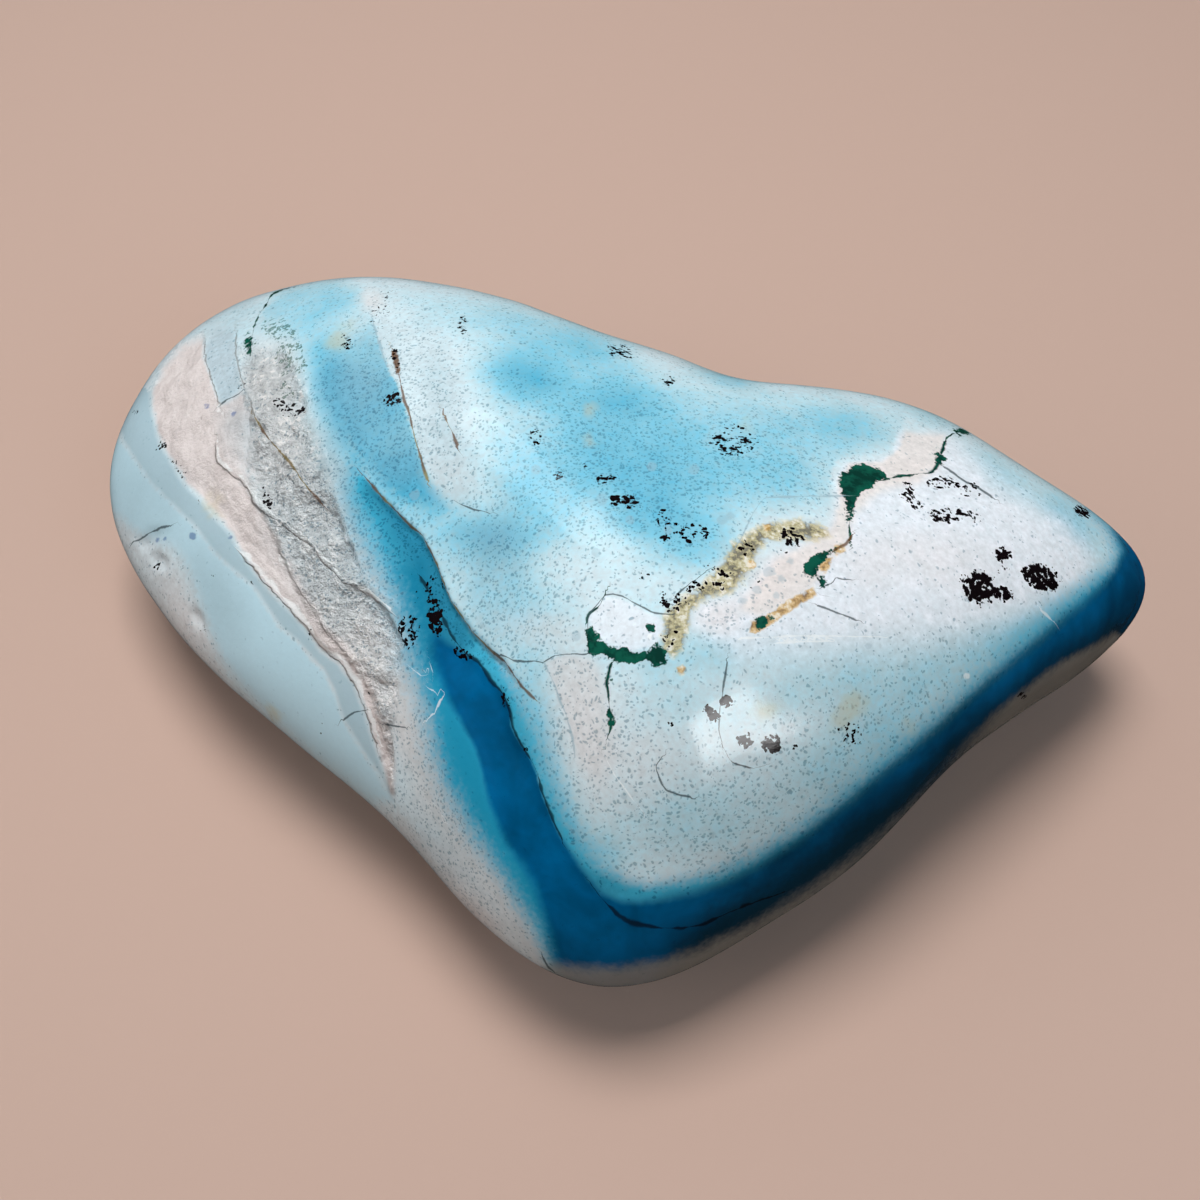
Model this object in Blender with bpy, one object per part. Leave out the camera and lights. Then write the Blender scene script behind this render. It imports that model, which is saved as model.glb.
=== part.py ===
"""One polished freeform stone of banded chrysocolla, as one closed solid.

The stone lies on a small flat face at z = 0. Its middle is over the origin, its long side runs along X,
and the side that shows the dark band faces -Y. A sphere is moved into the stone's shape: every vertex
keeps its direction around the stone, the rim table says how far out the widest line lies and how high,
and the crown table gives the heights of the top that the ridge, the dish and the plateau pass through.
"""
import bpy
import bmesh
import numpy as np

MM = 0.001

# Widest line around the stone: x, y and height in mm, then the fullness of the edge above it.
# A larger fullness keeps the top level for longer before it rounds over.
RIM = {
    "right_tip": (52.3, 0.3, 14.0, 5.5),
    "right_front": (48.2, -6.1, 14.5, 6.5),
    "waist_right": (38.8, -13.8, 17.5, 7.5),
    "waist": (29.4, -21.2, 18.5, 8.0),
    "front_right": (21.0, -28.7, 15.0, 8.0),
    "front_mid": (10.3, -35.0, 12.5, 7.0),
    "front_tip": (-1.4, -38.6, 12.0, 5.5),
    "front_left": (-8.7, -35.3, 12.0, 5.0),
    "slope_left": (-16.2, -28.0, 12.0, 4.5),
    "waist_left": (-23.9, -20.4, 12.5, 4.5),
    "side_left": (-33.3, -12.8, 13.0, 4.5),
    "side_low": (-44.4, -1.9, 13.0, 4.5),
    "left_end": (-52.9, 15.2, 13.5, 4.8),
    "left_back": (-51.8, 24.9, 14.0, 4.8),
    "back_left": (-44.4, 36.4, 14.5, 4.8),
    "back_corner": (-31.4, 39.2, 15.0, 4.8),
    "back_top": (-17.4, 36.0, 16.0, 4.5),
    "back_mid": (-4.4, 29.4, 16.0, 4.5),
    "back_waist": (7.5, 24.4, 16.0, 4.5),
    "back_right": (20.2, 20.5, 15.0, 4.5),
    "back_shoulder": (34.8, 18.3, 15.0, 4.5),
    "back_end": (45.2, 10.0, 14.0, 5.0),
}

# Points of the crown surface: x, y and height in mm.
CROWN = {
    "ridge_back": (-14.9, 16.3, 33.0),
    "ridge_high": (-11.3, 5.1, 35.0),
    "ridge_mid": (-4.4, -9.5, 35.0),
    "ridge_low": (1.8, -19.9, 34.5),
    "corner_front": (6.6, -26.9, 32.2),
    "dish": (-0.3, 3.8, 32.6),
    "dish_back": (-5.0, 15.2, 31.5),
    "back_edge": (8.0, 9.9, 31.5),
    "plateau": (18.8, -14.6, 32.4),
    "plateau_back": (12.8, 1.4, 32.6),
    "plateau_right": (31.8, -8.4, 29.6),
    "shoulder_end": (38.6, -9.1, 27.0),
    "right_end": (42.4, -2.2, 26.0),
    "shoulder_back": (28.3, 6.2, 28.8),
    "shoulder_tip": (1.8, -33.1, 26.5),
    "shoulder_left": (8.2, -32.5, 27.0),
    "shoulder_mid": (15.0, -28.7, 27.8),
    "shoulder_waist": (22.4, -22.9, 28.3),
    "shoulder_right": (30.3, -16.6, 28.2),
    "chin": (-1.2, -36.2, 23.5),
    "channel_low": (-7.3, -30.2, 26.5),
    "channel_mid": (-13.1, -17.2, 27.5),
    "channel_top": (-18.6, -3.8, 29.3),
    "shelf_left": (-15.4, -26.8, 25.0),
    "terrace_low": (-18.4, -18.5, 26.5),
    "terrace_mid": (-23.5, -7.6, 28.6),
    "terrace_top": (-28.4, 5.8, 30.5),
    "wedge": (-23.4, 10.9, 31.8),
    "back_left_top": (-30.3, 24.6, 29.6),
    "band_top": (-39.1, 11.6, 28.5),
    "band_mid": (-30.7, -5.4, 28.5),
    "band_low": (-22.4, -19.4, 26.5),
    "facet_top": (-44.4, 7.3, 23.5),
    "facet_mid": (-34.5, -9.6, 24.0),
    "facet_low": (-25.4, -20.2, 23.0),
    "end_top": (-46.5, 19.5, 26.0),
    "corner_top": (-38.5, 31.0, 27.3),
    "back_rim_left": (-18.0, 30.0, 29.5),
    "back_rim_right": (15.0, 16.5, 28.8),
    "tip_top": (48.0, 0.5, 24.5),
    "slope_high": (-7.6, -16.0, 31.5),
    "slope_low": (-3.5, -26.4, 30.5),
}
CROWN_SOFTNESS = 120.0

# The underside rounds in from the rim and would end this far below the table; the flat face cuts it off.
UNDERSIDE_END_MM = -1.2
UNDERSIDE_FULLNESS = 2.6
# Share of the underside's rows that lie between the rim and the flat face's edge.
UNDERSIDE_ROWS_SHARE = 0.75

COLUMNS = 102
ROWS = 48
OUTLINE_SAMPLES = 3600

STONE_COLOUR = (0.36, 0.60, 0.68, 1.0)
STONE_ROUGHNESS = 0.28
STONE_METALLIC = 0.0


def clear_scene():
    for thing in list(bpy.data.objects):
        bpy.data.objects.remove(thing, do_unlink=True)


def rim_values(azimuth):
    """Radius, height and fullness of the rim at each azimuth, by a closed cubic spline over the rim table."""
    table = np.array(list(RIM.values()))
    angles = np.arctan2(table[:, 1], table[:, 0])
    order = np.argsort(angles)
    angles = angles[order]
    radii = np.hypot(table[order, 0], table[order, 1])
    values = np.column_stack([radii, table[order, 2], table[order, 3]])
    count = len(angles)
    gaps = np.diff(np.append(angles, angles[0] + 2.0 * np.pi))
    matrix = np.zeros((count, count))
    right = np.zeros((count, 3))
    for i in range(count):
        after = gaps[i]
        before = gaps[i - 1]
        following = (i + 1) % count
        matrix[i, i] = 2.0 / after + 2.0 / before
        matrix[i, following] += 1.0 / after
        matrix[i, i - 1] += 1.0 / before
        rise_after = (values[following] - values[i]) / after**2
        rise_before = (values[i] - values[i - 1]) / before**2
        right[i] = 3.0 * (rise_after + rise_before)
    slopes = np.linalg.solve(matrix, right)
    place = np.searchsorted(angles, azimuth, side="right") - 1
    start = place % count
    end = (start + 1) % count
    start_angle = np.where(place < 0, angles[start] - 2.0 * np.pi, angles[start])
    gap = gaps[start][:, None]
    u = (azimuth - start_angle)[:, None] / gap
    return (
        values[start] * (1.0 + 2.0 * u) * (1.0 - u) ** 2
        + values[end] * u * u * (3.0 - 2.0 * u)
        + gap * slopes[start] * u * (1.0 - u) ** 2
        - gap * slopes[end] * u * u * (1.0 - u)
    )


def bending(squared_distance):
    """Thin-plate kernel r^2 log r, written with the squared distance."""
    return 0.5 * squared_distance * np.log(squared_distance + 1e-9)


def crown_heights(x, y):
    """Height in mm of a thin plate bent through the crown table, at each x and y."""
    points = np.array(list(CROWN.values()))
    count = len(points)
    apart = ((points[:, None, :2] - points[None, :, :2]) ** 2).sum(-1)
    matrix = np.zeros((count + 3, count + 3))
    matrix[:count, :count] = bending(apart) + CROWN_SOFTNESS * np.eye(count)
    matrix[:count, count] = 1.0
    matrix[count, :count] = 1.0
    matrix[:count, count + 1:] = points[:, :2]
    matrix[count + 1:, :count] = points[:, :2].T
    weights = np.linalg.solve(matrix, np.append(points[:, 2], np.zeros(3)))
    squared = (x[:, None] - points[:, 0]) ** 2 + (y[:, None] - points[:, 1]) ** 2
    level = weights[count] + weights[count + 1] * x + weights[count + 2] * y
    return bending(squared) @ weights[:count] + level


def outline_middle():
    """Middle of the outline's extent along X and along Y, in mm."""
    azimuth = np.linspace(-np.pi, np.pi, OUTLINE_SAMPLES, endpoint=False)
    radius = rim_values(azimuth)[:, 0]
    x = radius * np.cos(azimuth)
    y = radius * np.sin(azimuth)
    return np.array([x.min() + x.max(), y.min() + y.max(), 0.0]) / 2.0


def underside_reach(reach, rim_height):
    """Share of the radius for the rows below the rim, so that one row lies on the flat face's edge."""
    flat_below = rim_height / (rim_height - UNDERSIDE_END_MM)
    flat_reach = (1.0 - flat_below**2) ** (1.0 / UNDERSIDE_FULLNESS)
    row = np.arccos(reach) / (0.5 * np.pi)
    rounding = np.cos(np.minimum(row / UNDERSIDE_ROWS_SHARE, 1.0) * np.arccos(flat_reach))
    flat = flat_reach * (1.0 - row) / (1.0 - UNDERSIDE_ROWS_SHARE)
    return np.where(row <= UNDERSIDE_ROWS_SHARE, rounding, flat)


def shape_stone(sphere):
    """Moves unit-sphere points to the stone's surface and returns them in metres."""
    reach = np.clip(np.hypot(sphere[:, 0], sphere[:, 1]), 0.0, 1.0)
    azimuth = np.arctan2(sphere[:, 1], sphere[:, 0])
    radius, rim_height, fullness = rim_values(azimuth).T
    upper = sphere[:, 2] >= 0.0
    reach = np.where(upper, reach, underside_reach(reach, rim_height))
    x = reach * radius * np.cos(azimuth)
    y = reach * radius * np.sin(azimuth)
    above = np.sqrt(1.0 - reach**fullness)
    top = rim_height + (crown_heights(x, y) - rim_height) * above
    below = np.sqrt(1.0 - reach**UNDERSIDE_FULLNESS)
    bottom = np.maximum(0.0, rim_height - (rim_height - UNDERSIDE_END_MM) * below)
    z = np.where(upper, top, bottom)
    return (np.column_stack([x, y, z]) - outline_middle()) * MM


def stone_material():
    material = bpy.data.materials.new("chrysocolla")
    material.use_nodes = True
    principled = material.node_tree.nodes["Principled BSDF"]
    principled.inputs["Base Color"].default_value = STONE_COLOUR
    principled.inputs["Roughness"].default_value = STONE_ROUGHNESS
    principled.inputs["Metallic"].default_value = STONE_METALLIC
    material.diffuse_color = STONE_COLOUR
    return material


def make_stone(collection):
    mesh_maker = bmesh.new()
    bmesh.ops.create_uvsphere(mesh_maker, u_segments=COLUMNS, v_segments=ROWS, radius=1.0)
    sphere = np.array([vertex.co[:] for vertex in mesh_maker.verts])
    for vertex, place in zip(mesh_maker.verts, shape_stone(sphere)):
        vertex.co = place
    bmesh.ops.recalc_face_normals(mesh_maker, faces=mesh_maker.faces)
    mesh = bpy.data.meshes.new("stone")
    mesh_maker.to_mesh(mesh)
    mesh_maker.free()
    for face in mesh.polygons:
        face.use_smooth = True
    mesh.materials.append(stone_material())
    stone = bpy.data.objects.new("stone", mesh)
    collection.objects.link(stone)
    return stone


clear_scene()
chrysocolla_stone = bpy.data.collections.new("chrysocolla_stone")
bpy.context.scene.collection.children.link(chrysocolla_stone)
make_stone(chrysocolla_stone)
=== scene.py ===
import itertools

import bpy
import numpy as np
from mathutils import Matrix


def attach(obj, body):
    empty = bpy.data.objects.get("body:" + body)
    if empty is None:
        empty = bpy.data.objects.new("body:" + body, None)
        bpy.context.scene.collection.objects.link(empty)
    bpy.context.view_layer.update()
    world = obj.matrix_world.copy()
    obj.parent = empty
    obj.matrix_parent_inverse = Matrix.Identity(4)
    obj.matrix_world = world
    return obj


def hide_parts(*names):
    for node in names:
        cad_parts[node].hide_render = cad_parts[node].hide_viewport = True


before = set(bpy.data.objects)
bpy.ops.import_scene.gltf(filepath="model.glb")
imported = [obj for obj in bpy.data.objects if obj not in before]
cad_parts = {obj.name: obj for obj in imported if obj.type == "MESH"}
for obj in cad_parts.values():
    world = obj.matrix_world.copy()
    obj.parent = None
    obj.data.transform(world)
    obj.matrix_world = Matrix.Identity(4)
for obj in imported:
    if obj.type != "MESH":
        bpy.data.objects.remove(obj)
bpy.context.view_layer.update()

print("frame loaded:", sorted(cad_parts))

mm = 0.001

# Where the photograph was taken from. Markings are given in its pixels (1200 x 1200) and are laid on the
# stone's surface from here, once, as values kept with the mesh.
photoView = dict(
    focal=1250.0,        # pixels
    middle=600.0,        # pixel at the middle of the picture
    elevation=54.0,      # degrees
    distance=140.0,      # mm to the table point at the picture's middle
    aimX=-0.86,          # mm, that table point
    aimY=8.61,
)


def viewAxes():
    # right, up and forward of the camera: it looks along +Y and down by the elevation
    turn = np.radians(photoView["elevation"])
    right = np.array([1.0, 0.0, 0.0])
    up = np.array([0.0, np.sin(turn), np.cos(turn)])
    forward = np.array([0.0, np.cos(turn), -np.sin(turn)])
    return right, up, forward


def viewPlace():
    # the camera's place in mm: back from the aimed point, against the forward direction
    aim = np.array([photoView["aimX"], photoView["aimY"], 0.0])
    return aim - photoView["distance"] * viewAxes()[2]


def photoPlace(points):
    # photo pixels of points in mm: offsets right and up, divided by the depth and scaled by the focal length
    right, up, forward = viewAxes()
    away = points - viewPlace()
    depth = away @ forward
    across = photoView["middle"] + photoView["focal"] * (away @ right) / depth
    down = photoView["middle"] - photoView["focal"] * (away @ up) / depth
    return np.column_stack([across, down])


# The stone's body, the same as in the CAD: its widest line, then points that the crown passes through.
stoneShape = dict(
    rim=dict(   # x, y and height in mm, then the fullness of the edge above
        rightTip=(52.3, 0.3, 14.0, 5.5),
        rightFront=(48.2, -6.1, 14.5, 6.5),
        waistRight=(38.8, -13.8, 17.5, 7.5),
        waist=(29.4, -21.2, 18.5, 8.0),
        frontRight=(21.0, -28.7, 15.0, 8.0),
        frontMid=(10.3, -35.0, 12.5, 7.0),
        frontTip=(-1.4, -38.6, 12.0, 5.5),
        frontLeft=(-8.7, -35.3, 12.0, 5.0),
        slopeLeft=(-16.2, -28.0, 12.0, 4.5),
        waistLeft=(-23.9, -20.4, 12.5, 4.5),
        sideLeft=(-33.3, -12.8, 13.0, 4.5),
        sideLow=(-44.4, -1.9, 13.0, 4.5),
        leftEnd=(-52.9, 15.2, 13.5, 4.8),
        leftBack=(-51.8, 24.9, 14.0, 4.8),
        backLeft=(-44.4, 36.4, 14.5, 4.8),
        backCorner=(-31.4, 39.2, 15.0, 4.8),
        backTop=(-17.4, 36.0, 16.0, 4.5),
        backMid=(-4.4, 29.4, 16.0, 4.5),
        backWaist=(7.5, 24.4, 16.0, 4.5),
        backRight=(20.2, 20.5, 15.0, 4.5),
        backShoulder=(34.8, 18.3, 15.0, 4.5),
        backEnd=(45.2, 10.0, 14.0, 5.0),
    ),
    crown=dict(   # x, y and height in mm
        ridgeBack=(-14.9, 16.3, 33.0),
        ridgeHigh=(-11.3, 5.1, 35.0),
        ridgeMid=(-4.4, -9.5, 35.0),
        ridgeLow=(1.8, -19.9, 34.5),
        cornerFront=(6.6, -26.9, 32.2),
        dish=(-0.3, 3.8, 32.6),
        dishBack=(-5.0, 15.2, 31.5),
        backEdge=(8.0, 9.9, 31.5),
        plateau=(18.8, -14.6, 32.4),
        plateauBack=(12.8, 1.4, 32.6),
        plateauRight=(31.8, -8.4, 29.6),
        shoulderEnd=(38.6, -9.1, 27.0),
        rightEnd=(42.4, -2.2, 26.0),
        shoulderBack=(28.3, 6.2, 28.8),
        shoulderTip=(1.8, -33.1, 26.5),
        shoulderLeft=(8.2, -32.5, 27.0),
        shoulderMid=(15.0, -28.7, 27.8),
        shoulderWaist=(22.4, -22.9, 28.3),
        shoulderRight=(30.3, -16.6, 28.2),
        chin=(-1.2, -36.2, 23.5),
        channelLow=(-7.3, -30.2, 26.5),
        channelMid=(-13.1, -17.2, 27.5),
        channelTop=(-18.6, -3.8, 29.3),
        shelfLeft=(-15.4, -26.8, 25.0),
        terraceLow=(-18.4, -18.5, 26.5),
        terraceMid=(-23.5, -7.6, 28.6),
        terraceTop=(-28.4, 5.8, 30.5),
        wedge=(-23.4, 10.9, 31.8),
        backLeftTop=(-30.3, 24.6, 29.6),
        bandTop=(-39.1, 11.6, 28.5),
        bandMid=(-30.7, -5.4, 28.5),
        bandLow=(-22.4, -19.4, 26.5),
        facetTop=(-44.4, 7.3, 23.5),
        facetMid=(-34.5, -9.6, 24.0),
        facetLow=(-25.4, -20.2, 23.0),
        endTop=(-46.5, 19.5, 26.0),
        cornerTop=(-38.5, 31.0, 27.3),
        backRimLeft=(-18.0, 30.0, 29.5),
        backRimRight=(15.0, 16.5, 28.8),
        tipTop=(48.0, 0.5, 24.5),
        slopeHigh=(-7.6, -16.0, 31.5),
        slopeLow=(-3.5, -26.4, 30.5),
    ),
    crownSoftness=120.0,
    undersideEnd=-1.2,         # mm, where the rounded underside would end below the table
    undersideFullness=2.6,
    outlineSamples=3600,
    columns=560,
    topRows=150,
    underRows=20,              # rows between the rim and the flat face's edge
    flatRows=3,                # rows across the flat face
    profileSamples=1200,
)


def rimValues(azimuth):
    # radius, height and fullness of the rim: a closed cubic spline over the rim table, by azimuth
    table = np.array(list(stoneShape["rim"].values()))
    angles = np.arctan2(table[:, 1], table[:, 0])
    order = np.argsort(angles)
    angles = angles[order]
    radii = np.hypot(table[order, 0], table[order, 1])
    values = np.column_stack([radii, table[order, 2], table[order, 3]])
    count = len(angles)
    after = np.diff(np.append(angles, angles[0] + 2.0 * np.pi))
    before = np.roll(after, 1)
    here = np.arange(count)
    following = np.roll(here, -1)
    matrix = np.zeros((count, count))
    matrix[here, here] = 2.0 / after + 2.0 / before
    matrix[here, following] += 1.0 / after
    matrix[here, np.roll(here, 1)] += 1.0 / before
    riseAfter = (values[following] - values) / after[:, None] ** 2
    riseBefore = (values - np.roll(values, 1, axis=0)) / before[:, None] ** 2
    slopes = np.linalg.solve(matrix, 3.0 * (riseAfter + riseBefore))
    place = np.searchsorted(angles, azimuth, side="right") - 1
    start = place % count
    end = following[start]
    startAngle = np.where(place < 0, angles[start] - 2.0 * np.pi, angles[start])
    gap = after[start][:, None]
    u = (azimuth - startAngle)[:, None] / gap
    return (
        values[start] * (1.0 + 2.0 * u) * (1.0 - u) ** 2
        + values[end] * u * u * (3.0 - 2.0 * u)
        + gap * slopes[start] * u * (1.0 - u) ** 2
        - gap * slopes[end] * u * u * (1.0 - u)
    )


def bending(squared):
    # thin-plate kernel r^2 log r, from the squared distance
    return 0.5 * squared * np.log(squared + 1e-9)


def crownWeights():
    # weights of a thin plate bent through the crown points, with its three level terms last
    points = np.array(list(stoneShape["crown"].values()))
    count = len(points)
    apart = ((points[:, None, :2] - points[None, :, :2]) ** 2).sum(-1)
    matrix = np.zeros((count + 3, count + 3))
    matrix[:count, :count] = bending(apart) + stoneShape["crownSoftness"] * np.eye(count)
    matrix[:count, count] = 1.0
    matrix[count, :count] = 1.0
    matrix[:count, count + 1:] = points[:, :2]
    matrix[count + 1:, :count] = points[:, :2].T
    return points, np.linalg.solve(matrix, np.append(points[:, 2], np.zeros(3)))


def crownHeights(x, y):
    # height in mm of that plate at each x and y
    points, weights = crownWeights()
    count = len(points)
    height = weights[count] + weights[count + 1] * x + weights[count + 2] * y
    for point, weight in zip(points, weights):
        height = height + weight * bending((x - point[0]) ** 2 + (y - point[1]) ** 2)
    return height


def outlineMiddle():
    # middle of the outline's extent along X and Y, in mm
    azimuth = np.linspace(-np.pi, np.pi, stoneShape["outlineSamples"], endpoint=False)
    radius = rimValues(azimuth)[:, 0]
    x = radius * np.cos(azimuth)
    y = radius * np.sin(azimuth)
    return np.array([x.min() + x.max(), y.min() + y.max(), 0.0]) / 2.0


def topSurface(reach, azimuth):
    # above the rim: the rim's height plus the crown's rise times sqrt(1 - reach^fullness)
    radius, rimHeight, fullness = rimValues(azimuth).T
    x = reach * radius * np.cos(azimuth)
    y = reach * radius * np.sin(azimuth)
    rise = np.sqrt(np.maximum(0.0, 1.0 - reach ** fullness))
    return np.column_stack([x, y, rimHeight + (crownHeights(x, y) - rimHeight) * rise])


def underSurface(reach, azimuth):
    # below the rim: the rim's height less a rounded drop, and never below the table
    radius, rimHeight, fullness = rimValues(azimuth).T
    x = reach * radius * np.cos(azimuth)
    y = reach * radius * np.sin(azimuth)
    drop = np.sqrt(np.maximum(0.0, 1.0 - reach ** stoneShape["undersideFullness"]))
    z = np.maximum(0.0, rimHeight - (rimHeight - stoneShape["undersideEnd"]) * drop)
    return np.column_stack([x, y, z])


def evenReaches(surface, lowest, rows):
    # reach of each row from lowest to 1, spaced evenly along the mean profile of all directions
    samples = 1.0 - (1.0 - lowest) * (1.0 - np.linspace(0.0, 1.0, stoneShape["profileSamples"])) ** 3
    azimuth = np.linspace(-np.pi, np.pi, 24, endpoint=False)
    length = np.zeros(len(samples))
    for direction in azimuth:
        line = surface(samples, np.full(len(samples), direction))
        steps = np.linalg.norm(np.diff(line, axis=0), axis=1)
        length[1:] += np.cumsum(steps)
    return np.interp(np.linspace(0.0, length[-1], rows), length, samples)


def stoneGrid():
    # rows of points from the top to the flat face's middle, all columns at the same azimuths, in mm
    columns = stoneShape["columns"]
    azimuth = np.linspace(-np.pi, np.pi, columns, endpoint=False)
    topReach = evenReaches(topSurface, 0.0, stoneShape["topRows"] + 1)[1:]
    rows = [topSurface(np.full(columns, reach), azimuth) for reach in topReach]
    rimHeight = rimValues(azimuth)[:, 1]
    flatShare = 1.0 - (rimHeight / (rimHeight - stoneShape["undersideEnd"])) ** 2
    flatReach = flatShare ** (1.0 / stoneShape["undersideFullness"])
    for row in range(1, stoneShape["underRows"] + 1):
        share = row / stoneShape["underRows"]
        rows.append(underSurface(np.cos(share * np.arccos(flatReach)), azimuth))
    for row in range(1, stoneShape["flatRows"] + 1):
        share = 1.0 - row / (stoneShape["flatRows"] + 1.0)
        rows.append(underSurface(share * flatReach, azimuth))
    centre = np.zeros(1)
    top = topSurface(centre, centre)
    bottom = underSurface(centre, centre)
    middle = outlineMiddle()
    return np.array(rows) - middle, top[0] - middle, bottom[0] - middle


def gridNormals(grid, top, bottom):
    # outward normals from the differences along the rows and down the columns
    around = np.roll(grid, -1, axis=1) - np.roll(grid, 1, axis=1)
    above = np.concatenate([np.broadcast_to(top, (1,) + grid.shape[1:]), grid[:-1]])
    below = np.concatenate([grid[1:], np.broadcast_to(bottom, (1,) + grid.shape[1:])])
    normals = np.cross(below - above, around)
    return normals / np.linalg.norm(normals, axis=2, keepdims=True)


def cloud(points, cell, seed):
    # value noise from -1 to 1: random numbers on a cubic lattice, smoothly blended between the corners
    size = 32
    table = np.random.default_rng(seed).uniform(-1.0, 1.0, (size, size, size))
    place = points / cell
    low = np.floor(place).astype(int)
    part = place - low
    part = part * part * (3.0 - 2.0 * part)
    total = np.zeros(len(points))
    for corner in itertools.product((0, 1), repeat=3):
        weight = np.prod(np.where(np.array(corner), part, 1.0 - part), axis=1)
        index = (low + corner) % size
        total += weight * table[index[:, 0], index[:, 1], index[:, 2]]
    return total


def ramp(value, start, end):
    # smooth step from 0 at start to 1 at end
    share = np.clip((value - start) / (end - start), 0.0, 1.0)
    return share * share * (3.0 - 2.0 * share)


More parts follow.
